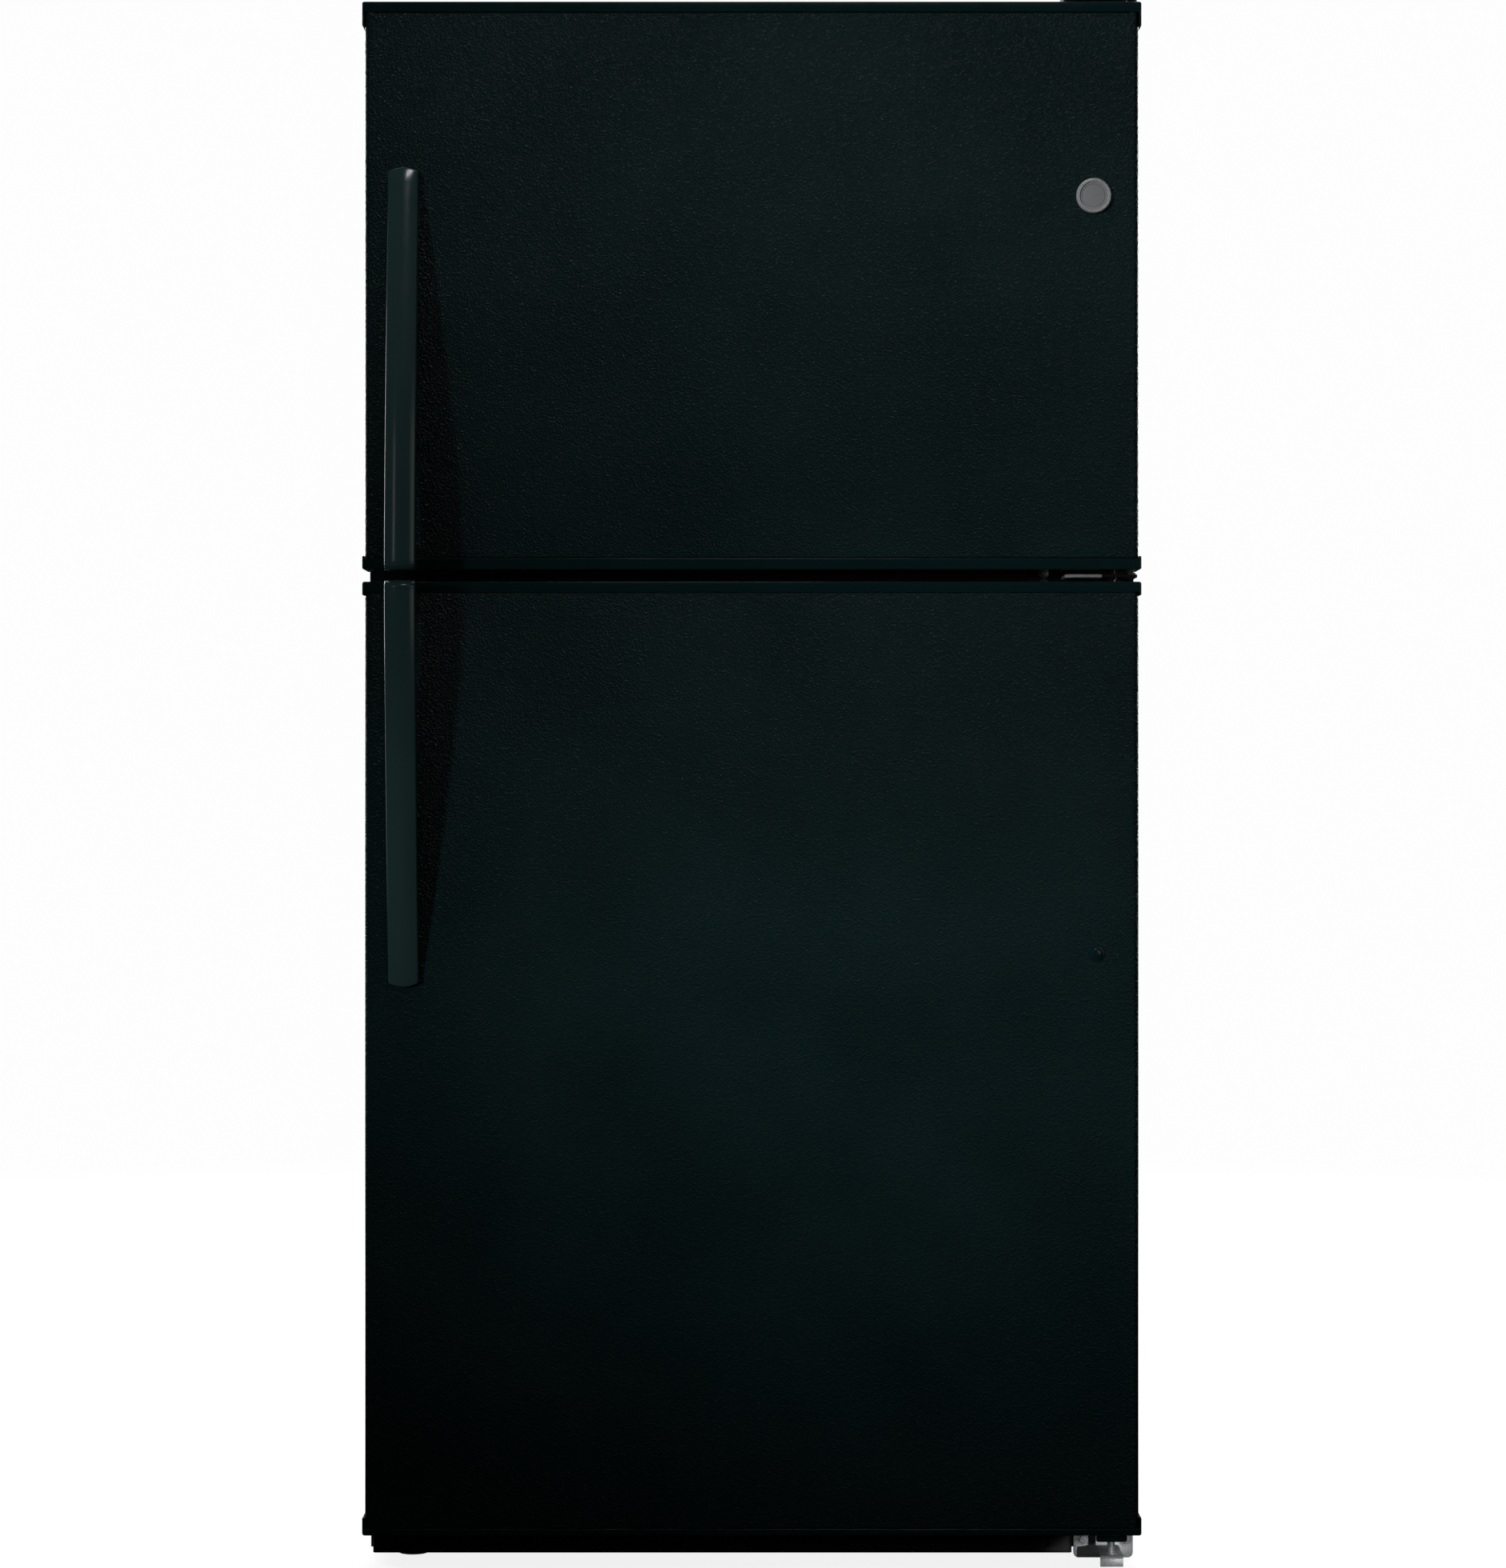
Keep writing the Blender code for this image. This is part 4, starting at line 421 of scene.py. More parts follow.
def doorSkin(door):
    size = skinSizes
    low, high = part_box(door + "_skin")
    skin = addBlock(door + "Skin", low, high)
    roundEdges(skin, parallel(upZ, alongY, low.y), size["frontRadius"], 10)
    roundEdges(skin, parallel(upZ, alongY, high.y), size["backRadius"], 5)
    inner = high.x - size["flange"]
    sliceAt(skin, acrossX, (-inner, inner))
    dropFaces(skin, lambda f: facing(alongY, 1)(f) and abs(f.calc_center_median().x) < inner)
    for level, way in ((low.z, -1), (high.z, 1)):  # a folded hem at both ends
        dropFaces(skin, lambda f: facing(upZ, way)(f) and abs(f.calc_center_median().x) > inner)
        insetFaces(skin, facing(upZ, way), size["lip"])
        dropFaces(skin, lambda f: facing(upZ, way)(f) and min(spot.y for spot in cornersOf(f)) > low.y + size["lip"] / 2
                  and max(spot.x for spot in cornersOf(f)) - min(spot.x for spot in cornersOf(f)) > inner)
        roundEdges(skin, folded(upZ, level), size["hem"], 3)
    thicken(skin, size["sheet"])
    finishPiece(skin, door, doorEnamel, door + "_skin")


capSizes = {"endGap": 0.0008, "sideGap": 0.0003, "cornerRadius": 0.0026, "tipRadius": 0.0016, "edge": 0.0009,
            "bossDrop": 0.008, "bossHalf": 0.0165, "bossFront": 0.012, "bossBack": 0.020, "bossRadius": 0.004,
            "pinHole": 0.0044, "through": 0.01}


def doorCap(door, end):
    size = capSizes
    node = door + "_" + end + "_cap"
    low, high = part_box(node)
    skinLow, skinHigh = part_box(door + "_skin")
    drop = size["bossDrop"] if node == "fridge_door_bottom_cap" else 0.0
    if end == "top":
        way, outer, inner, tip = 1, high.z, skinHigh.z + size["endGap"], low.z
    else:
        way, outer, inner, tip = -1, low.z + drop, skinLow.z - size["endGap"], high.z
    side = skinHigh.x + size["sideGap"]
    cap = addBlock(door + end.title() + "Cap", (low.x, low.y, min(outer, inner)), (high.x, high.y, max(outer, inner)))
    sliceAt(cap, acrossX, (-side, side))
    choose(cap, "FACE", lambda f: facing(upZ, -way)(f) and abs(f.calc_center_median().x) > side)
    extrude((0, 0, tip - inner))  # the ears that overlap the skin's sides
    for level, radius, steps in ((outer, size["cornerRadius"], 5), (tip, size["tipRadius"], 4)):
        roundEdges(cap, lambda e: parallel(alongY, upZ, level)(e) and abs(e.verts[0].co.x) > side + 1e-4, radius, steps)
    if drop:
        boss = addBlock("boss", (hinge["x"] - size["bossHalf"], hinge["y"] - size["bossFront"], low.z),
                        (hinge["x"] + size["bossHalf"], hinge["y"] + size["bossBack"], outer + 0.001))
        roundEdges(boss, parallel(upZ), size["bossRadius"])
        weld(cap, boss)
    cutWith(cap, roundBar("hole", (hinge["x"], hinge["y"], 0), upZ, size["pinHole"], low.z - size["through"],
                          high.z + size["through"], 24))
    softenEdges(cap, size["edge"])
    finishPiece(cap, door, glossBlack, node)


handleSizes = {"tip": 0.006, "standoff": 0.055, "power": 1.5, "foot": 0.028, "bar": 0.016, "corner": 0.008,
               "footSlope": 0.008, "footDrop": 0.006, "crown": 0.0030, "tipArc": 0.0046, "edge": 0.0026,
               "seamFromEnd": 0.0088, "seamDepth": 0.0005, "seamHalf": 0.0004, "columns": (0.25, 0.5, 0.75, 0.9),
               "steps": 26, "innerSteps": 16}


def handleRise(share):
    return handleSizes["tip"] + (handleSizes["standoff"] - handleSizes["tip"]) * (1 - share ** handleSizes["power"])


def doorHandle(door, gapAtTop):
    size = handleSizes
    low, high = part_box(door + "_handle")
    length = high.z - low.z
    gapEnd, way = (high.z, -1) if gapAtTop else (low.z, 1)
    steps, corner, standoff, foot, bar = size["steps"], size["corner"], size["standoff"], size["foot"], size["bar"]
    outline = [(length, 0.0)]  # (distance from the gap's end, depth)
    outline += [((1 - i / steps) * length, handleRise(1 - i / steps)) for i in range(steps)]
    outline += [(corner - corner * math.sin(math.radians(t)), standoff - corner + corner * math.cos(math.radians(t)))
                for t in range(15, 91, 15)]
    start = (foot + size["footSlope"]) / length
    outline += [(0.0, 0.0), (foot, 0.0), (foot, handleRise(start) - bar - size["footDrop"])]
    innerEnd = (1 - (bar - size["tip"]) / (standoff - size["tip"])) ** (1 / size["power"])
    shares = [start + (innerEnd - start) * i / size["innerSteps"] for i in range(size["innerSteps"] + 1)]
    outline += [(share * length, max(0.0, handleRise(share) - bar)) for share in shares]
    shrink = (high.y - low.y) / standoff
    handle = sweepLine(door + "Handle", [(low.x, high.y - depth * shrink, gapEnd + way * reach) for reach, depth in outline],
                       (high.x - low.x, 0, 0))
    middle, half = (low.x + high.x) / 2, (high.x - low.x) / 2
    sliceAt(handle, acrossX, [middle + side * half * share for share in size["columns"] for side in (-1, 1)] + [middle])

    def onFront(spot):
        reach, depth = abs(spot.co.z - gapEnd), (high.y - spot.co.y) / shrink
        if reach < corner:
            return depth > standoff - corner - near
        return reach < length * 0.985 and abs(depth - handleRise(reach / length)) < 3e-4
    for share in size["columns"] + (1.0,):  # the front is crowned, and its far end is an arc
        for side in (-1, 1):
            column = onPlane(acrossX, middle + side * half * share)
            moveCorners(handle, both(column, onFront), (0, size["crown"] * share ** 2, 0))
            moveCorners(handle, lambda c: column(c) and abs(abs(c.co.z - gapEnd) - length) < near,
                        (0, 0, -way * size["tipArc"] * share ** 2))
    softenEdges(handle, size["edge"], 4, 50)
    seam = gapEnd + way * size["seamFromEnd"]
    sliceAt(handle, upZ, (seam - size["seamHalf"], seam, seam + size["seamHalf"]))
    choose(handle, "VERT", onPlane(upZ, seam))
    bpy.ops.transform.shrink_fatten(value=-size["seamDepth"])
    # the handle takes the lightened plastic, whose extra lightness is painted reflection
    finishPiece(handle, door, handleBlackAndPaintedSheen, door + "_handle", 38)


badgeSizes = {"ring": 0.0038, "recess": 0.0016, "inner": 0.0122, "step": 0.0004, "groove": 0.0006, "dome": 0.0005}


def frontCentre(low, high):
    return ((low.x + high.x) / 2, high.y, (low.z + high.z) / 2)


def doorBadge():
    size = badgeSizes
    low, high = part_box("door_badge")
    radius, proud = (high.x - low.x) / 2, high.y - low.y
    step, inner = size["step"], radius - size["ring"]
    floor = -proud + size["recess"]
    rim = [(inner - step, 0.0), (radius, 0.0), (radius, -proud * 0.45), (radius - step, -proud * 0.75),
           (radius - 0.0011, -proud * 0.95), (radius - 0.0018, -proud), (inner + step, -proud * 0.93),
           (inner, -proud + size["recess"] * 0.6), (inner - step, floor), (inner - step, 0.0)]
    ring = turnPiece("badgeRing", frontCentre(low, high), alongY, rim, 72)
    finishPiece(ring, "freezer_door", chromeTrim, "door_badge")
    face, line = inner - 0.0005, size["inner"]
    dish = [(0.0, -0.0003), (face, -0.0003), (face, floor), (line + size["groove"], floor - 0.0001),
            (line, floor + step), (line - size["groove"], floor - 0.0001),
            (line * 0.5, floor - size["dome"]), (0.0, floor - size["dome"] - 0.0001)]
    disc = turnPiece("badgeDisc", frontCentre(low, high), alongY, dish, 72)
    finishPiece(disc, "freezer_door", badgeFace)


def holePlug():
    low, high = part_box("handle_hole_plug")
    radius, proud = (high.x - low.x) / 2, high.y - low.y
    profile = [(0.0, 0.0), (radius * 0.97, 0.0), (radius, -proud * 0.2), (radius * 0.985, -proud * 0.34),
               (radius * 0.86, -proud * 0.44), (radius * 0.80, -proud * 0.42)]
    profile += [(radius * 0.78 * math.cos(math.radians(t)), -proud * (0.42 + 0.58 * math.sin(math.radians(t))))
                for t in range(10, 90, 10)] + [(0.0, -proud)]
    plug = turnPiece("holePlug", frontCentre(low, high), alongY, profile, 56)
    finishPiece(plug, "fridge_door", glossBlack, "handle_hole_plug")


for door in ("freezer_door", "fridge_door"):
    doorSkin(door)
    doorCap(door, "top")
    doorCap(door, "bottom")
    doorHandle(door, door == "fridge_door")
doorBadge()
holePlug()
print("door fronts shaped")

wrapperSizes = {"cornerRadius": 0.004, "frontRadius": 0.0022, "flange": 0.044, "sheet": 0.001}


def caseWrapper():
    size = wrapperSizes
    low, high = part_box("cabinet_wrapper")
    case = addBlock("caseWrapper", low, high)
    dropFaces(case, lambda f: abs(f.normal.y) > 0.9)
    roundEdges(case, parallel(alongY, upZ, high.z), size["cornerRadius"], 5)
    choose(case, "EDGE", both(onPlane(alongY, low.y), loose))
    extrude()  # the flange turned in at the front
    half, tall, flange = high.x, (high.z - low.z) / 2, size["flange"]
    stretch(((half - flange) / half, 1, (tall - flange) / tall), (0, low.y, (low.z + high.z) / 2))
    roundEdges(case, folded(alongY, low.y), size["frontRadius"])
    dropFaces(case, facing(upZ, -1))
    mend(case)
    thicken(case, size["sheet"], even=False)
    finishPiece(case, "cabinet", caseEnamel, "cabinet_wrapper")


screwSizes = {"radius": 0.0045, "rise": 0.0016}


def screwRow(name, places):  # cross-headed screws in the case's back
    radius, rise = screwSizes["radius"], screwSizes["rise"]
    profile = [(0.0, 0.0), (radius, 0.0), (radius, rise * 0.3), (radius * 0.86, rise * 0.75),
               (radius * 0.5, rise), (0.0, rise)]
    head, first = turnPiece(name, places[0], alongY, profile, 20), Vector(places[0])
    thin, wide, lift = radius * 0.14, radius * 0.62, Vector((0, rise, 0))
    spans = [Vector((wide, rise * 0.5, thin)), Vector((thin, rise * 0.5, wide))]
    cutWith(head, *[addBlock("slotArm", first - span + lift, first + span + lift) for span in spans])
    copies = [copyOf(head, name + str(i), Vector(place) - first) for i, place in enumerate(places) if i]
    finishPiece(joinPieces([head] + copies), "cabinet", screwSteel)


panelSizes = {"margin": 0.050, "step": 0.008, "sunk": 0.0024, "sheet": 0.001, "beads": (0.30, 0.58, 0.86, 1.14),
              "beadHalf": 0.020, "beadInset": 0.010, "beadSlope": 0.004, "beadRise": 0.0026, "edge": 0.0022,
              "screwSide": 0.014, "screwEnd": 0.03, "screwsX": (-0.22, 0.0, 0.22)}


def backPanel():
    size = panelSizes
    low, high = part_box("cabinet_back_panel")
    high.y -= screwSizes["rise"]  # so that the screws end at the case's back
    panel = addBlock("backPanel", low, high)
    dropFaces(panel, lambda f: not facing(alongY, 1)(f))
    insetFaces(panel, facing(alongY, 1), size["margin"])
    insetFaces(panel, within(acrossX, high.x - size["margin"] + near), size["step"], -size["sunk"])
    reach = high.x - size["margin"] - size["step"]
    for bead in size["beads"]:
        bottom, top = low.z + bead - size["beadHalf"], low.z + bead + size["beadHalf"]
        sliceAt(panel, upZ, (bottom, top))
        strip = both(onPlane(alongY, high.y - size["sunk"]),
                     lambda f: all(bottom - near < spot.z < top + near for spot in cornersOf(f)))
        insetFaces(panel, strip, size["beadInset"])
        insetFaces(panel, both(strip, within(acrossX, reach - 0.005)), size["beadSlope"], size["beadRise"])
    roundEdges(panel, sharp(0.3), size["edge"], 3)
    thicken(panel, size["sheet"])
    finishPiece(panel, "cabinet", zincSteel, "cabinet_back_panel", 40)
    side, end = size["screwSide"], size["screwEnd"]
    screwRow("backScrews", [(x, high.y, z) for x in (low.x + side, high.x - side)
                            for z in [low.z + end + i * (high.z - low.z - 2 * end) / 5 for i in range(6)]]
             + [(x, high.y, high.z - side) for x in size["screwsX"]])


coverSizes = {"slots": 7, "pitch": 0.085, "rib": 0.008, "levels": (0.095, 0.120, 0.145, 0.170), "slotHeight": 0.008,
              "slotRadius": 0.0038, "inletX": -0.300, "inletZ": 0.230, "inletRadius": 0.0133, "corner": 0.006,
              "through": 0.01, "screwSide": 0.012, "screwEnd": 0.02, "screwsX": (-0.15, 0.15)}


def machineCover():
    size = coverSizes
    low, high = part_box("machine_cover")
    cover = addBlock("machineCover", low, high)
    roundEdges(cover, parallel(alongY), size["corner"], 5)
    pitch, rib, front, back = size["pitch"], size["rib"], low.y - size["through"], high.y + size["through"]
    starts = [(i - size["slots"] / 2) * pitch for i in range(size["slots"])]
    cutSlots(cover, [((start + rib, front, level), (start + pitch - rib, back, level + size["slotHeight"]))
                     for start in starts for level in size["levels"]], alongY, size["slotRadius"], 5)
    cutWith(cover, roundBar("hole", (size["inletX"], 0, size["inletZ"]), alongY, size["inletRadius"], front, back, 32))
    finishPiece(cover, "cabinet", boardBrown, "machine_cover")
    side, end = size["screwSide"], size["screwEnd"]
    screwRow("coverScrews", [(x, high.y, z) for x in (low.x + side, high.x - side) for z in (low.z + end, high.z - end)]
             + [(x, high.y, high.z - side) for x in size["screwsX"]])


grilleSizes = {"wall": 0.002, "slots": 9, "end": 0.020, "rib": 0.008, "slotHeight": 0.005, "bar": 0.003, "lip": 0.0016,
               "lipProud": 0.0012, "lipRise": 0.0008, "lipInset": 0.0045, "corner": 0.004, "edge": 0.0014}


def baseGrille():
    size = grilleSizes
    low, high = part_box("base_grille")
    face, wall = low.y + size["lipProud"], size["wall"]
    grille = addBlock("baseGrille", (low.x, face, low.z), high)
    roundEdges(grille, parallel(upZ, alongY, face), size["corner"], 5)
    roundEdges(grille, lambda e: onPlane(alongY, face)(e) and not parallel(upZ)(e)
               and any(abs(f.normal.z) > 0.9 for f in e.link_faces), size["edge"], 3)
    cutWith(grille, addBlock("hollow", (low.x + wall, face + wall, low.z + wall),
                             (high.x - wall, high.y + 0.01, high.z - wall)))
    pitch = (high.x - low.x - 2 * size["end"]) / size["slots"]
    middle, bar, tall = (low.z + high.z) / 2, size["bar"] / 2, size["slotHeight"]
    starts = [low.x + size["end"] + i * pitch + size["rib"] / 2 for i in range(size["slots"])]
    cutSlots(grille, [((start, face - 0.01, level), (start + pitch - size["rib"], face + 0.0035, level + tall))
                      for start in starts for level in (middle - bar - tall, middle + bar)], alongY, 0.002, 4)
    inset, rise = size["lipInset"], low.z + size["lipRise"]
    lip = addBlock("lip", (low.x + inset, low.y, rise), (high.x - inset, face + 0.0008, rise + size["lip"]))
    roundEdges(lip, parallel(acrossX, alongY, low.y), 0.0006, 3)
    weld(grille, lip)
    finishPiece(grille, "cabinet", mattBlack, "base_grille")


def hexScrew(name, place, axis, way, across, rise, flange):
    profile = [(0.0, 0.0), (flange, 0.0), (flange, way * rise * 0.22), (flange * 0.92, way * rise * 0.34),
               (0.0, way * rise * 0.34)]
    washer = turnPiece(name, place, axis, profile, 28)
    clearSelection()
    turned = (math.radians(90), 0, 0) if axis == alongY else (0, 0, 0)
    middle = Vector(place)
    middle[axis] += way * rise * 0.6
    bpy.ops.mesh.primitive_cylinder_add(vertices=6, radius=across / 2, depth=rise * 0.8, location=middle, rotation=turned)
    head = nameIt("hexHead")
    softenEdges(head, across * 0.05, 2, 30)
    insetFaces(head, lambda f: facing(axis, way)(f) and f.calc_area() > (across / 2) ** 2, across * 0.16)
    insetFaces(head, lambda f: facing(axis, way)(f) and all((c - middle).length < across * 0.40 for c in cornersOf(f)),
               across * 0.03, -rise * 0.18)
    weld(washer, head)
    return washer


bottomHingeSizes = {"plateTop": 0.036, "leaf": 0.003, "corner": 0.0055, "armTop": 0.0165, "armHalf": 0.0122,
                    "noseRound": 0.0045, "lipBottom": 0.0045, "webReach": 0.027, "webTop": 0.0012, "webNose": 0.004,
                    "webFoot": 0.006, "screws": (-0.0265, 0.0195), "screwLevel": 0.0225, "collar": 0.0022}


def bottomHinge():
    size = bottomHingeSizes
    low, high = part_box("bottom_hinge")
    plateBack = hinge["caseFront"] - hinge["gap"]
    leaf, half, nose, bend, top = size["leaf"], size["armHalf"], low.y, size["noseRound"], size["armTop"]
    front = plateBack - leaf
    plate = addBlock("bottomHinge", (low.x, front, low.z), (high.x, plateBack, size["plateTop"]))
    roundEdges(plate, parallel(alongY), size["corner"], 6)
    turns, innerTurns = [[math.radians(t) for t in range(0, 91, step)] for step in (15, 30)]
    points = [(front + 0.001, top - leaf), (front + 0.001, top)]
    points += [(nose + bend - bend * math.sin(t), top - bend + bend * math.cos(t)) for t in turns]
    points += [(nose, size["lipBottom"]), (nose + leaf, size["lipBottom"])]
    inner = bend - leaf
    points += [(nose + bend - inner * math.cos(t), top - bend + inner * math.sin(t)) for t in innerTurns]
    arm = sweepLine("arm", [(hinge["x"] - half, y, z) for y, z in points], (2 * half, 0, 0))
    roundEdges(arm, lambda e: parallel(alongY)(e) and abs(e.verts[0].co.z - top) < near and e.calc_length() > 0.02,
               0.0011, 3)
    weld(plate, arm)
    for side in (-1, 1):  # gussets under the arm, sloping down to the plate
        reach, under = front - size["webReach"], top - size["webTop"]
        corners = [(front + 0.0008, under), (reach, under), (reach, top - size["webNose"]),
                   (front + 0.0008, size["webFoot"])]
        weld(plate, sweepLine("web", [(hinge["x"] + side * half, y, z) for y, z in corners], (-side * leaf, 0, 0)))
    softenEdges(plate, 0.0005, 2, 50)
    thin, wide = hinge["radius"], hinge["radius"] + size["collar"]
    pin = turnPiece("pin", (hinge["x"], hinge["y"], 0), upZ,
                    [(0, top - 0.001), (wide, top - 0.001), (wide, top + 0.0012), (thin, top + 0.0014),
                     (thin, high.z - 0.001), (thin - 0.001, high.z), (0, high.z)], 28)
    weld(plate, *[hexScrew("screw", (hinge["x"] + shift, front, size["screwLevel"]), alongY, -1, 0.0096, 0.0031, 0.0064)
                  for shift in size["screws"]], pin)
    finishPiece(plate, "cabinet", hingeSteel, "bottom_hinge", 30)


# the leaf is drawn bright only as far as the arm's painted shade begins; past that x the same steel is drawn matt black
# as painted shade
centerHingeSizes = {"flange": 0.0025, "flangeRight": 0.0185, "corner": 0.006, "leaf": 0.0035, "leafLeft": 0.050,
                    "leafCorner": 0.009, "paintedShadeFrom": 0.376, "tab": 0.0085, "tabTop": 0.0047, "screwX": -0.0685,
                    "screwRise": 0.0062, "collar": 0.002, "collarHalf": 0.0034, "seam": 0.0001}


def centerHinge():
    size = centerHingeSizes
    low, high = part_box("center_hinge")
    pinX, pinY, thin, half, seam = hinge["x"], hinge["y"], hinge["radius"], size["leaf"] / 2, size["seam"]
    middle = (low.z + high.z) / 2
    plateBack = hinge["caseFront"] - hinge["gap"]
    front = plateBack - size["flange"]

    def finishPart(piece, material, node=None):
        finishPiece(piece, "cabinet", material, node, 30)
    # the hinge plate is drawn in black steel as painted shade: its black stands for the shade in the door gap, not for
    # black paint
    plate = addBlock("centerHinge", (low.x, front, low.z), (pinX + size["flangeRight"], plateBack, high.z))
    roundEdges(plate, parallel(alongY), size["corner"], 6)
    softenEdges(plate, 0.0004, 2, 50)
    finishPart(plate, blackPaintAndShade, "center_hinge")
    leaf = addBlock("centerHingeLeaf", (pinX - size["leafLeft"], low.y, middle - half),
                    (size["paintedShadeFrom"], front + 0.001, middle + half))
    roundEdges(leaf, lambda e: parallel(upZ, alongY, low.y)(e) and e.verts[0].co.x < pinX - 0.03, size["leafCorner"], 8)
    softenEdges(leaf, 0.0005, 2, 50)
    finishPart(leaf, hingeSteel)
    # the arm is the same hinge steel as the leaf, drawn in matt black as painted shade where it lies in shadow
    arm = addBlock("centerHingeArm", (size["paintedShadeFrom"] + seam, low.y + 0.001, middle - half),
                   (high.x, front + 0.001, middle + half))
    softenEdges(arm, 0.0005, 2, 50)
    finishPart(arm, mattBlack)
    tab = addBlock("centerHingeTab", (high.x - size["tab"], pinY + 0.010, middle + half + seam),
                   (high.x, front - 0.006, middle + size["tabTop"]))
    softenEdges(tab, 0.0008, 2)
    finishPart(tab, hingeSteel)
    wide, tall = thin + size["collar"], size["collarHalf"]
    pin = turnPiece("centerHingePin", (pinX, pinY, 0), upZ,
                    [(0, low.z), (thin - 0.001, low.z), (thin, low.z + 0.001), (thin, middle - tall),
                     (wide, middle - tall + 0.0002), (wide, middle + tall - 0.0002), (thin, middle + tall),
                     (thin, high.z - 0.001), (thin - 0.001, high.z), (0, high.z)], 28)
    finishPart(pin, mattBlack)
    heads = [hexScrew("centerHingeScrew" + end, (pinX + size["screwX"], front, middle + rise), alongY, -1,
                      0.0098, 0.0034, 0.0058)
             for end, rise in (("Low", -size["screwRise"]), ("High", size["screwRise"]))]
    for head in heads:
        finishPart(head, screwSteel)


topHingeSizes = {"leaf": 0.003, "rest": 1.6803, "reach": 0.080, "rampBack": 0.008, "rampFront": 0.002,
                 "corner": 0.012, "screws": ((-0.032, 0.030), (0.005, 0.030), (-0.013, 0.062))}


def topHinge():
    size = topHingeSizes
    low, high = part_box("top_hinge")
    pinX, pinY, caseFront, leaf, rest = hinge["x"], hinge["y"], hinge["caseFront"], size["leaf"], size["rest"]
    back, raised, thin = caseFront + size["reach"], high.z - leaf, hinge["radius"]
    path = [(back, rest), (caseFront + size["rampBack"], rest), (caseFront + size["rampFront"], raised), (low.y, raised)]
    path += [(y, z + leaf) for y, z in reversed(path)]
    plate = sweepLine("topHinge", [(low.x, y, z) for y, z in path], (high.x - low.x, 0, 0))
    roundEdges(plate, lambda e: parallel(upZ, alongY, low.y)(e) or parallel(upZ, alongY, back)(e), size["corner"], 7)
    softenEdges(plate, 0.0005, 2)
    weld(plate, turnPiece("pin", (pinX, pinY, 0), upZ, [(0, low.z), (thin - 0.001, low.z), (thin, low.z + 0.001),
                                                        (thin, high.z - 0.001), (0, high.z - 0.001)], 28))
    for shiftX, shiftY in size["screws"]:
        weld(plate, hexScrew("screw", (pinX + shiftX, caseFront + shiftY, rest + leaf), upZ, 1, 0.0100, 0.0028, 0.0066))
    finishPiece(plate, "cabinet", zincSteel, "top_hinge", 30)


hingeCoverSizes = {"wall": 0.0015, "lift": 1.6856, "overlap": 0.001, "corner": 0.011, "edge": 0.0032}


def topHingeCover():
    size = hingeCoverSizes
    low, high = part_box("top_hinge_cover")
    front, lift = hinge["caseFront"] + size["overlap"], size["lift"]
    cover = addBlock("topHingeCover", low, high)
    sliceAt(cover, alongY, (front,))
    sliceAt(cover, upZ, (lift,))
    dropFaces(cover, lambda f: all(c.y < front + 0.0001 and c.z < lift + near for c in cornersOf(f)))
    dropFaces(cover, facing(upZ, -1))
    roundEdges(cover, lambda e: parallel(upZ, alongY, low.y)(e) or parallel(upZ, alongY, high.y)(e), size["corner"], 8)
    roundEdges(cover, folded(upZ, high.z), size["edge"], 5)
    thicken(cover, size["wall"])
    finishPiece(cover, "cabinet", mattBlack, "top_hinge_cover", 40)


gasketProfile = [(0.0, 0.0), (0.0001, 0.0022), (0.0038, 0.0036), (0.0018, 0.0056), (0.0006, 0.0072), (0.0006, 0.0112),
                 (0.0018, None), (0.0142, None), (0.0154, 0.0112), (0.0154, 0.0072), (0.0142, 0.0056),
                 (0.0122, 0.0036), (0.0159, 0.0022), (0.0160, 0.0)]  # (inward, rise), None for the full depth


def gasketRing(door):
    low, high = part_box(door + "_gasket")
    ring = addBlock(door + "Gasket", (low.x, low.y - 0.001, low.z), (high.x, low.y, high.z))
    dropFaces(ring, lambda f: not facing(alongY, 1)(f))
    wide, tall, deep = high.x - low.x, high.z - low.z, high.y - low.y
    centre = ((low.x + high.x) / 2, low.y, (low.z + high.z) / 2)
    inside = lambda f: facing(alongY, 1)(f) and f.calc_area() > wide * tall * 0.5
    inBefore, riseBefore = 0.0, 0.0
    for inward, rise in gasketProfile[1:]:
        rise = deep if rise is None else rise
        choose(ring, "FACE", inside)
        extrude((0, rise - riseBefore, 0))
        stretch(((wide - 2 * inward) / (wide - 2 * inBefore), 1, (tall - 2 * inward) / (tall - 2 * inBefore)), centre)
        inBefore, riseBefore = inward, rise
    dropFaces(ring, lambda f: abs(f.normal.y) > 0.99 and f.calc_area() > wide * tall * 0.5)
    choose(ring, "EDGE", loose)
    bpy.ops.mesh.bridge_edge_loops()
    mend(ring)
    finishPiece(ring, door, gasketGrey, door + "_gasket", 50)


freezerRoom, fridgeRoom = (1.121, 1.626), (0.084, 1.016)  # floor and ceiling of the two cavities
linerSizes = {"wall": 0.0015, "rim": 0.0097, "corner": 0.013, "front": 0.0035, "humpFront": 0.1505, "humpTop": 0.330,
              "railIn": 0.012, "railOut": 0.0008, "railTall": 0.010, "railRound": 0.003}


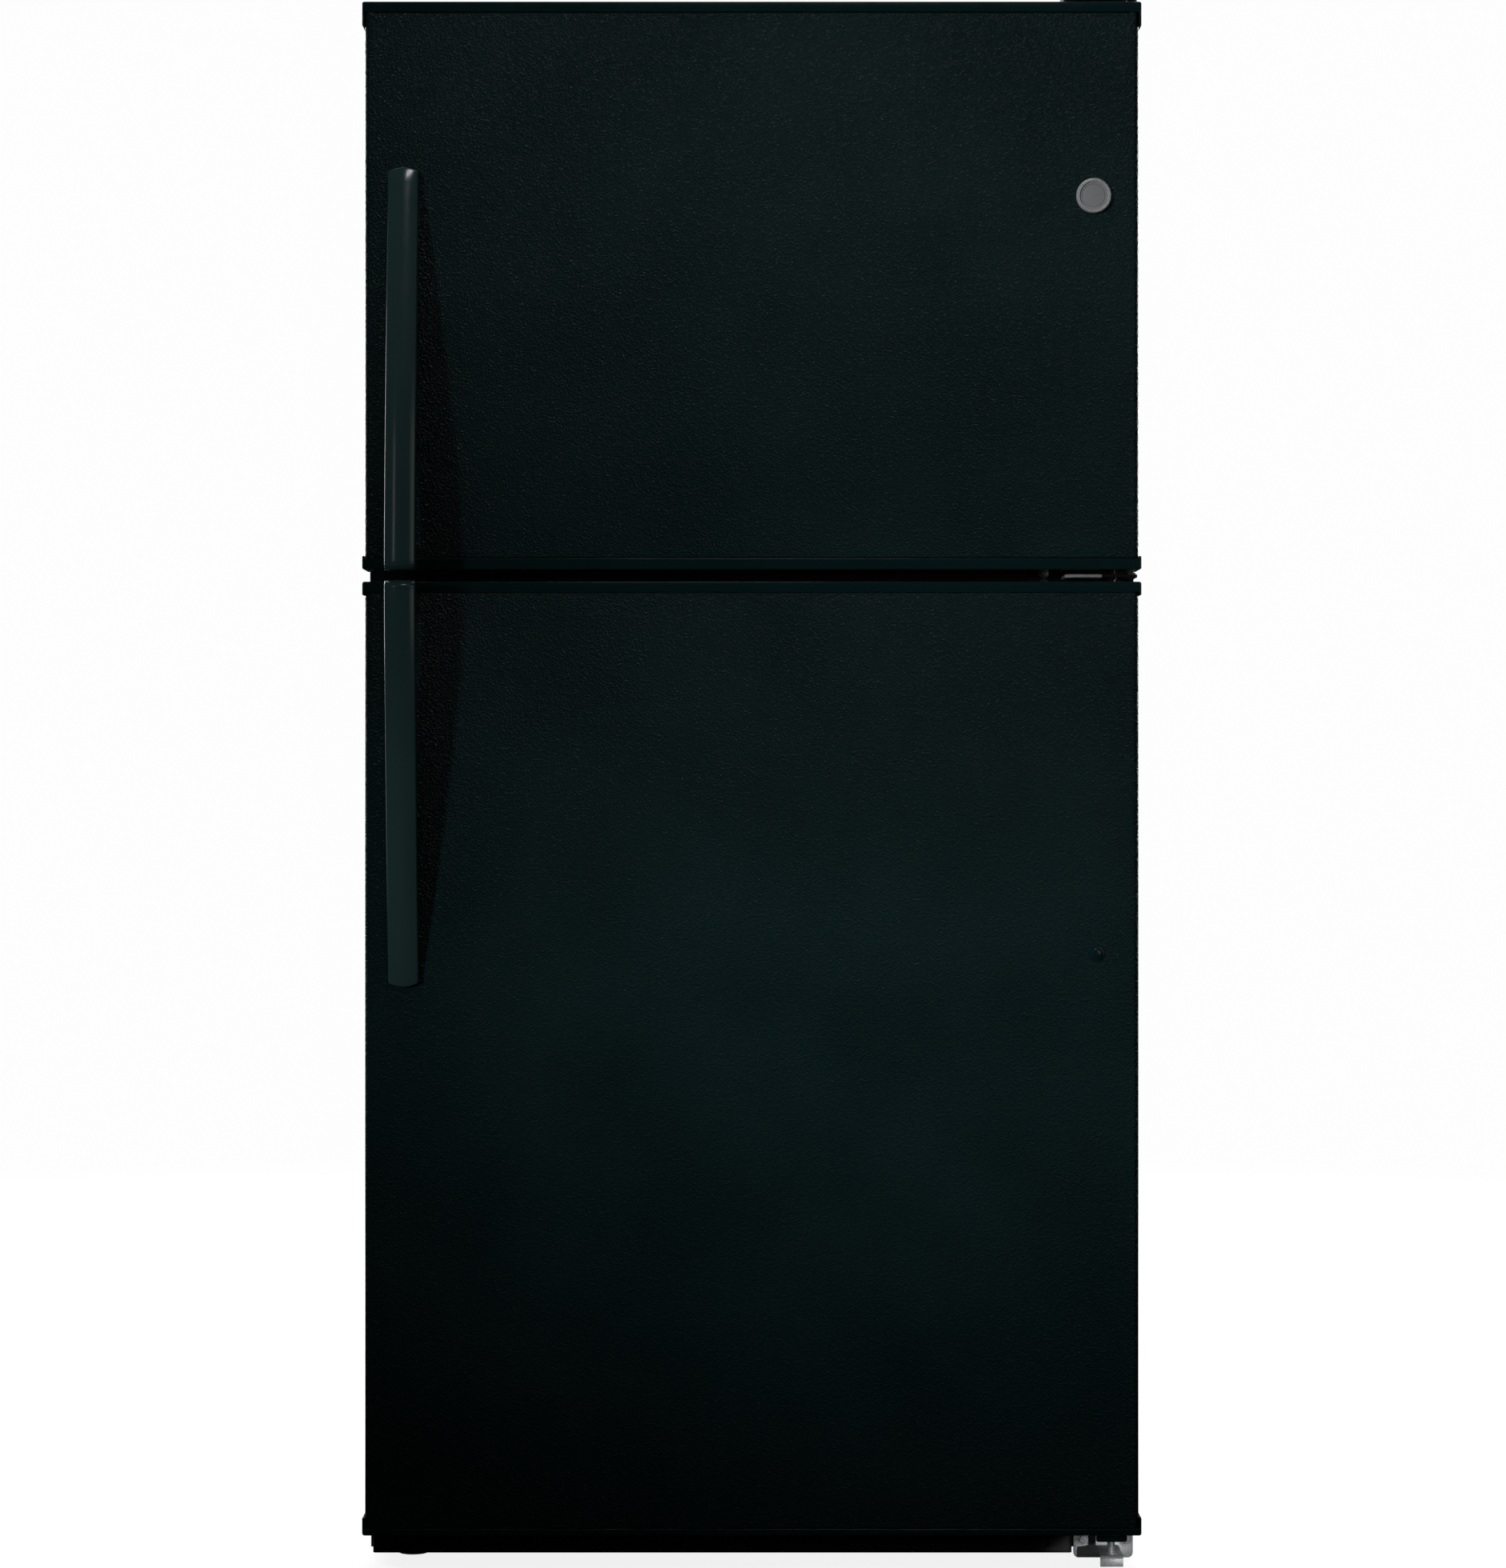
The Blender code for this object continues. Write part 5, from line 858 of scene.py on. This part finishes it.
def caseLiner(node, name, room, shelves, hump):
    size = linerSizes
    low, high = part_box(node)
    cavityHalf, back, rim = high.x - size["rim"], high.y - size["wall"], size["rim"]
    floor, ceiling = room
    outline = [(low.y, floor), (back, floor), (back, ceiling), (low.y, ceiling)]
    if hump:  # the step over the compressor
        step, top = size["humpFront"], size["humpTop"]
        outline[1:2] = [(step, floor), (step, top), (back, top)]
    liner = sweepLine(name, [(-cavityHalf, y, z) for y, z in outline], (2 * cavityHalf, 0, 0))
    dropFaces(liner, lambda f: facing(alongY, -1)(f) and all(c.y < low.y + near for c in cornersOf(f)))
    roundEdges(liner, sharp(0.5), size["corner"], 6)
    choose(liner, "FACE")
    bpy.ops.mesh.flip_normals()  # it is seen from inside
    choose(liner, "EDGE", loose)
    extrude()
    wide, tall = cavityHalf, (ceiling - floor) / 2
    stretch(((wide + rim) / wide, 1, (tall + rim) / tall), (0, low.y, (floor + ceiling) / 2))
    roundEdges(liner, lambda e: len(e.link_faces) == 2 and onPlane(alongY, low.y)(e), size["front"])
    thicken(liner, size["wall"])
    for level, frontEnd, rearEnd in shelves:
        for side in (-1, 1):
            ends = sorted((side * (cavityHalf + size["railOut"]), side * (cavityHalf - size["railIn"])))
            rail = addBlock("rail", (ends[0], frontEnd, level - size["railTall"]), (ends[1], rearEnd, level))
            roundEdges(rail, lambda e: (parallel(alongY)(e) or parallel(upZ)(e))
                       and abs(e.verts[0].co.x) < cavityHalf - size["railIn"] / 2, size["railRound"])
            weld(liner, rail)
    finishPiece(liner, "cabinet", linerWhite, node, 40)


doorLinerSizes = {"half": 0.362, "slope": 0.004, "rise": 0.040, "width": 0.030, "pan": 0.004, "corner": 0.010,
                  "edge": 0.0035, "wall": 0.0015, "clearance": 0.010, "ledgeHalf": 0.318, "ledgeFront": -0.2146,
                  "ledgeTall": 0.004}


def doorLiner(door, room, ledge):
    size = doorLinerSizes
    node = door + "_liner"
    low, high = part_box(node)
    plate, clear, slope, wide = low.y + size["wall"], size["clearance"], size["slope"], size["width"]
    liner = addBlock(door + "Liner", (low.x, plate - 0.01, low.z), (high.x, plate, high.z))
    dropFaces(liner, lambda f: not facing(alongY, 1)(f))
    now = [size["half"] - clear, room[0] + clear, room[1] - clear]  # half width, bottom and top of the raised part
    outer, bottom, top = now
    sliceAt(liner, acrossX, (-outer, outer))
    sliceAt(liner, upZ, (bottom, top))
    for inward, rise in ((slope, size["rise"]), (wide - slope, 0.0), (wide, size["pan"] - size["rise"])):
        half, lowEnd, highEnd = outer - inward, bottom + inward, top - inward
        choose(liner, "FACE", lambda f: facing(alongY, 1)(f) and abs(f.calc_center_median().x) < 1e-3
               and f.calc_area() > 0.15)
        extrude((0, rise, (lowEnd + highEnd - now[1] - now[2]) / 2))
        stretch((half / now[0], 1, (highEnd - lowEnd) / (now[2] - now[1])), (0, plate, (lowEnd + highEnd) / 2))
        now = [half, lowEnd, highEnd]
    climb = lambda e: abs(e.verts[0].co.y - e.verts[1].co.y)
    roundEdges(liner, lambda e: len(e.link_faces) == 2 and climb(e) > 0.02, size["corner"], 5)
    roundEdges(liner, lambda e: sharp(0.5)(e) and climb(e) < 1e-4, size["edge"], 3)
    thicken(liner, size["wall"], even=False)
    if ledge:
        rest = addBlock("ledge", (-size["ledgeHalf"], plate + size["pan"] - 0.0008, ledge - size["ledgeTall"]),
                        (size["ledgeHalf"], size["ledgeFront"], ledge))
        softenEdges(rest, 0.0012)
        weld(liner, rest)
    finishPiece(liner, door, linerWhite, node, 40)


boxSizes = {"wall": 0.002, "rim": 0.0022, "rimHeight": 0.006, "corner": 0.012, "foot": 0.006, "taper": 0.006,
            "floorRound": 0.005, "edge": 0.0007}


def openBox(name, node, body, bands, front=None, extras=()):
    size = boxSizes
    low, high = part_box(node)
    low.y = low.y if front is None else front
    rim, rimHeight, wall = size["rim"], size["rimHeight"], size["wall"]
    shell = addBlock(name, (low.x + rim, low.y + rim, low.z), (high.x - rim, high.y - rim, high.z - rimHeight))
    roundEdges(shell, parallel(upZ), size["corner"], 6)
    choose(shell, "FACE", facing(upZ, 1))  # the rolled rim stands out on every side
    centre = ((low.x + high.x) / 2, (low.y + high.y) / 2, high.z)
    wide, long = high.x - low.x, high.y - low.y
    extrude()
    stretch((wide / (wide - 2 * rim), long / (long - 2 * rim), 1), centre)
    extrude((0, 0, rimHeight))
    roundEdges(shell, onPlane(upZ, low.z), size["foot"])
    sliceAt(shell, upZ, [low.z + (high.z - low.z) * band for band in bands])
    insetFaces(shell, lambda f: facing(upZ, 1)(f) and f.calc_area() > 0.01, rim + wall)
    choose(shell, "FACE", lambda f: facing(upZ, 1)(f) and all(abs(c.x - centre[0]) < wide / 2 - rim for c in cornersOf(f)))
    mouths = [span - 2 * (rim + wall) for span in (wide, long)]
    extrude((0, 0, low.z + wall - high.z))
    stretch([(mouth - size["taper"]) / mouth for mouth in mouths] + [1], centre)
    roundEdges(shell, onPlane(upZ, low.z + wall), size["floorRound"], 3)
    roundEdges(shell, lambda e: onPlane(upZ, high.z)(e) and e.calc_face_angle(0) > 0.5, size["edge"], 2)
    weld(shell, *extras)
    finishPiece(shell, body, clearPlastic, node, 45)


drawerSizes = {"front": -0.1246, "gripBack": -0.1215, "gripHalf": 0.07, "gripLow": 0.024, "gripHigh": 0.020,
               "gripCorner": 0.010, "bands": (0.12, 0.15)}


def crisperDrawer(side):
    size = drawerSizes
    node = "crisper_drawer_" + side
    low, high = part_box(node)
    middle, half = (low.x + high.x) / 2, size["gripHalf"]
    grip = addBlock("grip", (middle - half, low.y, high.z - size["gripLow"]),
                    (middle + half, size["gripBack"], high.z - size["gripHigh"]))
    roundEdges(grip, parallel(upZ, alongY, low.y), size["gripCorner"], 6)
    softenEdges(grip, 0.0010, 2, 60)
    openBox("crisperDrawer" + side.title(), node, node + "_body", size["bands"], size["front"], [grip])


shelfSizes = {"bar": 0.016, "bead": 0.0001, "glassDown": 0.0032, "glass": 0.004, "corner": 0.006, "edge": 0.0022}


def shelfWithFrame(node, name):
    size = shelfSizes
    low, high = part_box(node)
    bar = size["bar"]
    rimPiece = addBlock(name + "Frame", low, high)
    insetFaces(rimPiece, facing(upZ, 1), bar)
    insetFaces(rimPiece, facing(upZ, -1), bar)
    choose(rimPiece, "FACE", lambda f: abs(f.normal.z) > 0.99 and f.calc_area() > 0.1
           and all(abs(c.x) < high.x - bar + near for c in cornersOf(f)))
    bpy.ops.mesh.bridge_edge_loops()
    softenEdges(rimPiece, size["edge"], 4)
    finishPiece(rimPiece, "cabinet", whitePlastic, node, 35)
    top, seat = high.z - size["glassDown"], bar - size["bead"]
    pane = addBlock(name + "Glass", (low.x + seat, low.y + seat, top - size["glass"]), (high.x - seat, high.y - seat, top))
    roundEdges(pane, parallel(upZ), size["corner"])
    softenEdges(pane, 0.0006, 2)
    finishPiece(pane, "cabinet", shelfGlass)


freezerShelfSizes = {"slots": 16, "side": 0.02, "rib": 0.006, "end": 0.035, "slotRound": 0.008}


def freezerShelf():
    size = freezerShelfSizes
    low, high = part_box("freezer_shelf")
    shelf = addBlock("freezerShelf", low, high)
    pitch, rib, end = (high.x - low.x - 2 * size["side"]) / size["slots"], size["rib"], size["end"]
    starts = [low.x + size["side"] + i * pitch for i in range(size["slots"])]
    cutSlots(shelf, [((start + rib, low.y + end, low.z - 0.01), (start + pitch - rib, high.y - end, high.z + 0.01))
                     for start in starts], upZ, size["slotRound"], 5)
    softenEdges(shelf, 0.0016, 3, 50)
    finishPiece(shelf, "cabinet", whitePlastic, "freezer_shelf", 35)


controlSizes = {"front": 0.014, "under": 0.009, "recessX": 0.030, "recessY": 0.032, "recessDeep": 0.005,
                "recessRound": 0.012, "knobs": (-0.1, 0.1), "hole": 0.0034, "holeDeep": 0.012, "marks": 9,
                "markCircle": 0.0212, "markStep": 30, "lensX": 0.034, "lensY": 0.036, "ribs": 24, "ribDrop": 0.0004}


def controlBox():
    size = controlSizes
    low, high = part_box("control_housing")
    level = (low.z + high.z) / 2
    box = addBlock("controlHousing", low, high)
    roundEdges(box, parallel(upZ, alongY, low.y), size["front"], 7)
    roundEdges(box, lambda e: onPlane(upZ, low.z)(e) and any(facing(upZ, -1)(f) for f in e.link_faces)
               and not onPlane(alongY, high.y)(e), size["under"], 5)
    softenEdges(box, 0.0010, 3, 50)
    recess = addBlock("recess", (low.x + size["recessX"], low.y + size["recessY"], low.z - 0.01),
                      (high.x - size["recessX"], high.y - size["recessY"], low.z + size["recessDeep"]))
    roundEdges(recess, parallel(upZ), size["recessRound"], 6)
    cutWith(box, recess)
    for x in size["knobs"]:
        cutWith(box, roundBar("hole", (x, 0, level), alongY, size["hole"], low.y - 0.01, low.y + size["holeDeep"], 20))
    softenEdges(box, 0.0006, 2, 50)
    finishPiece(box, "cabinet", whitePlastic, "control_housing", 35)
    marks = []
    for x in size["knobs"]:
        for i in range(size["marks"]):  # they grow round the dial
            turn = math.radians(-120 + size["markStep"] * i)
            reach = size["markCircle"]
            centre = Vector((x + reach * math.sin(turn), low.y + 0.0008, level + reach * math.cos(turn)))
            half = Vector((0.0005, 0.0003, 0.0016 + 0.0001 * i))
            marks.append(addBlock("mark", centre - half, centre + half))
            turnAbout(marks[-1], turn, centre)
            softenEdges(marks[-1], 0.0001, 1)
    dial = joinPieces(marks)
    dial.name = dial.data.name = "dialMarks"
    finishPiece(dial, "cabinet", markGrey)
    inX, inY = size["lensX"], size["lensY"]
    lens = addBlock("lampLens", (low.x + inX, low.y + inY, low.z + 0.0005), (high.x - inX, high.y - inY, low.z + 0.0035))
    sliceAt(lens, acrossX, [low.x + inX + i * (high.x - low.x - 2 * inX) / size["ribs"] for i in range(1, size["ribs"])])
    insetFaces(lens, facing(upZ, -1), 0.0028, 0.0, True)
    moveCorners(lens, lambda c: c.co.z < low.z + 0.0006 and abs(c.co.y - low.y - inY) > 0.002
                and abs(c.co.y - high.y + inY) > 0.002, (0, 0, -size["ribDrop"]))
    finishPiece(lens, "cabinet", clearPlastic)


knobSizes = {"face": 0.010, "deep": 0.016, "spindle": 0.003, "skirt": 0.017, "barHalf": 0.0028, "barReach": 0.0135,
             "pointerHalf": 0.0004, "pointerFrom": 0.006, "pointerTo": 0.0125}


def temperatureKnob(node):
    size = knobSizes
    low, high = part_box(node)
    x, z = (low.x + high.x) / 2, (low.z + high.z) / 2
    face = high.y - size["face"]  # the housing's front
    front, spindle, skirt = face - size["deep"], size["spindle"], size["skirt"]
    profile = [(0.0, high.y), (spindle, high.y), (spindle, face - 0.0006), (skirt - 0.0002, face - 0.0006),
               (skirt, face - 0.0026), (skirt - 0.0014, face - 0.004), (skirt - 0.0020, front + 0.003),
               (skirt - 0.0030, front + 0.0008), (skirt - 0.0048, front), (0.0, front)]
    knob = turnPiece(node.replace("_temp_knob", "TempKnob"), (x, 0, z), alongY, profile, 40)
    half, reach, thin = size["barHalf"], size["barReach"], size["pointerHalf"]
    bar = addBlock("bar", (x - half, low.y, z - reach), (x + half, front + 0.001, z + reach))
    roundEdges(bar, parallel(alongY), 0.0022, 5)
    weld(knob, bar)
    cutWith(knob, addBlock("pointer", (x - thin, low.y - 0.0001, z + size["pointerFrom"]),
                           (x + thin, low.y + 0.001, z + size["pointerTo"])))
    softenEdges(knob, 0.0005, 2)
    finishPiece(knob, node + "_body", whitePlastic, node, 35)


def humiditySlider(side):
    node = "humidity_slider_" + side
    low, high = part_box(node)
    middle = (low.x + high.x) / 2
    grooves = [middle + i * 0.004 for i in range(-3, 4)]
    slider = addBlock("humiditySlider" + side.title(), low, high)
    sliceAt(slider, acrossX, grooves)
    choose(slider, "EDGE", lambda e: parallel(upZ, alongY, low.y)(e) and abs(e.verts[0].co.x - middle) < 0.013)
    bpy.ops.mesh.bevel(offset=0.0008, segments=1, affect="EDGES")
    moveCorners(slider, lambda c: onPlane(alongY, low.y)(c) and min(abs(c.co.x - groove) for groove in grooves) < 0.001,
                (0, 0.0006, 0))
    softenEdges(slider, 0.0007, 3, 60)
    finishPiece(slider, node + "_body", whitePlastic, node, 35)


coverPanelSizes = {"sheet": 0.003, "fanLevel": 1.516, "fanHole": 0.055, "corner": 0.008, "slots": 8, "pitch": 0.060,
                   "rib": 0.008, "slotLow": 0.030, "slotHigh": 0.042, "slotRound": 0.005,
                   "rings": (0.014, 0.024, 0.034, 0.044, 0.0545), "wire": 0.0009, "spokeReach": 0.0552,
                   "bracketHalf": 0.008, "bracketNear": 0.062, "bracketFar": 0.070, "bracketBack": 0.026}


def evaporatorCover():
    size = coverPanelSizes
    low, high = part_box("evaporator_cover")
    front, level, pitch, wire = low.y, size["fanLevel"], size["pitch"], size["wire"]
    panel = addBlock("evaporatorCover", (low.x, front, low.z), (high.x, front + size["sheet"], high.z))
    roundEdges(panel, parallel(alongY), size["corner"], 5)
    starts = [(i - size["slots"] / 2) * pitch for i in range(size["slots"])]
    cutSlots(panel, [((start + size["rib"], front - 0.01, low.z + size["slotLow"]),
                      (start + pitch - size["rib"], front + 0.013, low.z + size["slotHigh"])) for start in starts],
             alongY, size["slotRound"], 5)
    fan = (0, 0, level)
    cutWith(panel, roundBar("hole", fan, alongY, size["fanHole"], front - 0.01, front + 0.01, 48))
    softenEdges(panel, 0.0008, 2, 50)
    near0, near1 = front + 0.0002, front + 0.0028  # the fan guard's wires lie between these
    guard = [turnPiece("ring", fan, alongY, [(radius - wire, near0), (radius + wire, near0), (radius + wire, near1),
                                             (radius - wire, near1), (radius - wire, near0)], 48)
             for radius in size["rings"]]
    for i in range(3):
        reach = size["spokeReach"]
        guard.append(addBlock("spoke", (-reach, front + 0.0006, level - 0.0011), (reach, front + 0.0024, level + 0.0011)))
        turnAbout(guard[-1], math.radians(60 * i), (0, front, level))
    weld(panel, *guard)
    half, close, far, back = size["bracketHalf"], size["bracketNear"], size["bracketFar"], front + size["bracketBack"]
    root = front + size["sheet"] - 0.001
    weld(panel, addBlock("bracket", (-half, root, level - far), (half, back, level - close)),
         addBlock("bracket", (-half, root, level + close), (half, back, level + far)),
         addBlock("bar", (-half, back - 0.002, level - far + 0.001), (half, back + 0.002, level + far - 0.001)),
         turnPiece("motor", fan, alongY, [(0, back), (0.016, back), (0.018, back + 0.002), (0.018, back + 0.014),
                                          (0.016, high.y), (0, high.y)], 32),
         roundBar("spindle", fan, alongY, 0.003, front + 0.008, back + 0.001, 16))
    finishPiece(panel, "cabinet", linerWhite, "evaporator_cover", 40)


lidSizes = {"axisLevel": 0.966, "axisY": -0.2146, "half": 0.0015, "side": 0.0025, "corner": 0.010, "gripHalf": 0.05,
            "gripFront": -0.2112, "gripLow": 0.004, "gripHigh": 0.007, "axle": 0.004}


def dairyLid():
    size = lidSizes
    low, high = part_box("dairy_lid")
    level, y, half, side, grip = size["axisLevel"], size["axisY"], size["half"], size["side"], size["gripHalf"]
    lid = addBlock("dairyLid", (low.x + side, y - half, low.z), (high.x - side, y + half, level))
    roundEdges(lid, parallel(alongY, upZ, low.z), size["corner"], 6)
    softenEdges(lid, 0.0007, 2)
    handle = addBlock("grip", (-grip, y + half - 0.0002, low.z + size["gripLow"]),
                      (grip, size["gripFront"], low.z + size["gripHigh"]))
    softenEdges(handle, 0.0008, 2)
    wide, thin = size["axle"], size["axle"] - 0.0005
    weld(lid, handle, turnPiece("axle", (0, y, level), acrossX,
                                [(0, low.x), (thin, low.x), (wide, low.x + 0.0005), (wide, high.x - 0.0005),
                                 (thin, high.x), (0, high.x)], 24))
    finishPiece(lid, "dairy_lid_body", clearPlastic, "dairy_lid", 35)


caseWrapper()
backPanel()
machineCover()
baseGrille()
print("case shaped")
bottomHinge()
centerHinge()
topHinge()
topHingeCover()
print("hinges shaped")
gasketRing("freezer_door")
gasketRing("fridge_door")
shelfFront, binBands = -0.1526, (0.72, 0.76)
caseLiner("freezer_liner", "freezerLiner", freezerRoom, [(1.366, shelfFront, 0.2955)], False)
caseLiner("fridge_liner", "fridgeLiner", fridgeRoom,
          [(0.545, shelfFront, 0.3435), (0.765, shelfFront, 0.3435), (0.334, shelfFront, 0.1305)], True)
doorLiner("freezer_door", freezerRoom, None)
doorLiner("fridge_door", fridgeRoom, 0.856)
print("liners shaped")
for room, level in (("freezer", "lower"), ("freezer", "upper"), ("fridge", "lower"), ("fridge", "middle"),
                    ("fridge", "upper")):
    openBox(room + "Bin" + level.title(), room + "_bin_" + level, room + "_door", binBands)
for side in ("left", "right"):
    crisperDrawer(side)
    humiditySlider(side)
shelfWithFrame("fridge_shelf_lower", "lowerShelf")
shelfWithFrame("fridge_shelf_upper", "upperShelf")
shelfWithFrame("crisper_cover", "crisperCover")
freezerShelf()
controlBox()
temperatureKnob("freezer_temp_knob")
temperatureKnob("fridge_temp_knob")
evaporatorCover()
dairyLid()
print("inside shaped")

keptFinishes = {  # solids that keep their own shape
    blackPaintAndShade: ("base_chassis", "compressor", "condenser_coil"),
    mattBlack: ("center_mullion", "rear_roller_left", "rear_roller_right", "condenser_fan_blade", "drain_pan",
                "evaporator_fan_blade"),
    zincSteel: ("leveling_leg_left", "leveling_leg_right", "condenser_fan_motor"),
    foamYellow: ("cabinet_insulation", "freezer_door_core", "fridge_door_core"),
    whitePlastic: ("light_switch_plunger",), rubberBlack: ("power_cord_grommet",), coilMetal: ("evaporator_coil",)}
for material, nodes in keptFinishes.items():
    for node in nodes:
        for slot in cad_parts[node].material_slots:
            slot.material = material
print("kept solids finished")

lights = [  # name, place, aim, width, height, watts
    ("topSoft", (0.0, -3.6, 3.6), (0.0, -0.36, 1.5), 0.6, 0.3, 6.0),
    ("leftSoft", (-1.6, -3.6, 1.7), (-0.3, -0.36, 1.2), 0.2, 0.9, 0.6),
    ("rightCard", (1.75, -3.6, 1.5), (0.1, -0.36, 1.2), 1.5, 1.7, 3.0),
    ("leftSide", (-3.0, 1.7, 1.6), (0.0, 0.0, 0.9), 2.0, 2.6, 12),
    ("rightSide", (3.0, 1.7, 1.6), (0.0, 0.0, 0.9), 2.0, 2.6, 12),
    ("overhead", (0.0, 0.8, 3.4), (0.0, 0.2, 1.0), 2.6, 2.6, 55),
    ("backLeft", (-2.4, 3.2, 2.0), (0.0, 0.3, 0.9), 2.0, 2.0, 70),
    ("backRight", (2.6, 3.0, 2.0), (0.0, 0.3, 0.9), 2.0, 2.0, 70),
]
spots = [  # name, place, aim, cone in degrees, softness of its source, watts, softness of its rim, seen in gloss
    ("freezerSpot", (-2.9, -3.3, 2.3), (0.28, -0.36, 1.48), 17, 0.3, 400, 1.0, False),
    ("fridgeSpot", (-2.9, -3.3, 1.2), (0.18, -0.36, 0.62), 14.4, 0.3, 470, 1.0, False),
    ("hingeSpot", (1.4, -3.4, 0.1), (0.400, -0.35, -0.055), 3.3, 0.01, 170, 0.4, True),
]
stageSizes = {"floorRadius": 9.0, "cameraPlace": (0.0013, -4.7635, 0.845), "lens": 94.22, "farthest": 60,
              "white": (0.985, 0.985, 0.985), "dim": (0.92, 1.0, 1.0, 1), "dimStrength": 0.003}


def layFloor():
    clearSelection()
    bpy.ops.mesh.primitive_circle_add(vertices=96, radius=stageSizes["floorRadius"], fill_type="NGON")
    floor = nameIt("floor")
    paint = Finish("pale floor", (0.5, 0.5, 0.5), 0.7)
    shrink = paint.node("Mapping", {"Vector": paint.place}, Scale=(0.22, 0.22, 0.22))
    ball = paint.node("TexGradient", {"Vector": shrink.outputs["Vector"]})
    ball.gradient_type = "SPHERICAL"
    paint.use("Base Color", paint.ramp(ball.outputs["Fac"], [(0.0, (0.0, 0.0, 0.0)), (0.55, (0.42, 0.42, 0.42))]))
    paint.use("Emission Color", paint.ramp(ball.outputs["Fac"], [(0.0, stageSizes["white"]), (0.7, (0.86, 0.86, 0.86))]))
    paint.set(Emission_Strength=1.0, Specular_IOR_Level=0.0)
    floor.data.materials.append(paint.material)
    floor.visible_glossy = floor.visible_diffuse = False


def hangLamp(name, kind, place, aim, watts):
    lamp = bpy.data.lights.new(name, kind)
    lamp.energy = watts
    holder = bpy.data.objects.new(name, lamp)
    bpy.context.scene.collection.objects.link(holder)
    holder.location = place
    holder.rotation_euler = (Vector(aim) - Vector(place)).to_track_quat("-Z", "Y").to_euler()
    return holder


def hangLights():
    for name, place, aim, width, height, watts in lights:
        holder = hangLamp(name, "AREA", place, aim, watts)
        holder.data.shape = "RECTANGLE"
        holder.data.size, holder.data.size_y = width, height
        holder.visible_camera = False
    for name, place, aim, cone, softness, watts, rim, gloss in spots:
        holder = hangLamp(name, "SPOT", place, aim, watts)
        holder.data.shadow_soft_size = softness
        holder.data.spot_size, holder.data.spot_blend = math.radians(cone), rim
        holder.visible_glossy = gloss


def paintSurroundings():  # white where the view looks past the object, nearly dark for its lighting
    world = bpy.data.worlds.new("studio")
    bpy.context.scene.world = world
    world.use_nodes = True
    nodes, links = world.node_tree.nodes, world.node_tree.links
    nodes.clear()
    out, blendNode, seen, dim, white = [nodes.new("ShaderNode" + kind) for kind in
                                        ("OutputWorld", "MixShader", "LightPath", "Background", "Background")]
    dim.inputs["Color"].default_value = stageSizes["dim"]
    dim.inputs["Strength"].default_value = stageSizes["dimStrength"]
    white.inputs["Color"].default_value = (*stageSizes["white"], 1)
    links.new(seen.outputs["Is Camera Ray"], blendNode.inputs["Fac"])
    links.new(dim.outputs["Background"], blendNode.inputs[1])
    links.new(white.outputs["Background"], blendNode.inputs[2])
    links.new(blendNode.outputs["Shader"], out.inputs["Surface"])
    bpy.context.scene.view_settings.view_transform = "Standard"


def placeCamera():
    eye = bpy.data.cameras.new("camera")
    eye.lens = stageSizes["lens"]
    eye.clip_end = stageSizes["farthest"]
    holder = bpy.data.objects.new("camera", eye)
    bpy.context.scene.collection.objects.link(holder)
    holder.location = stageSizes["cameraPlace"]
    holder.rotation_euler = (math.radians(90), 0, 0)
    bpy.context.scene.camera = holder


layFloor()
hangLights()
paintSurroundings()
placeCamera()
clearSelection()
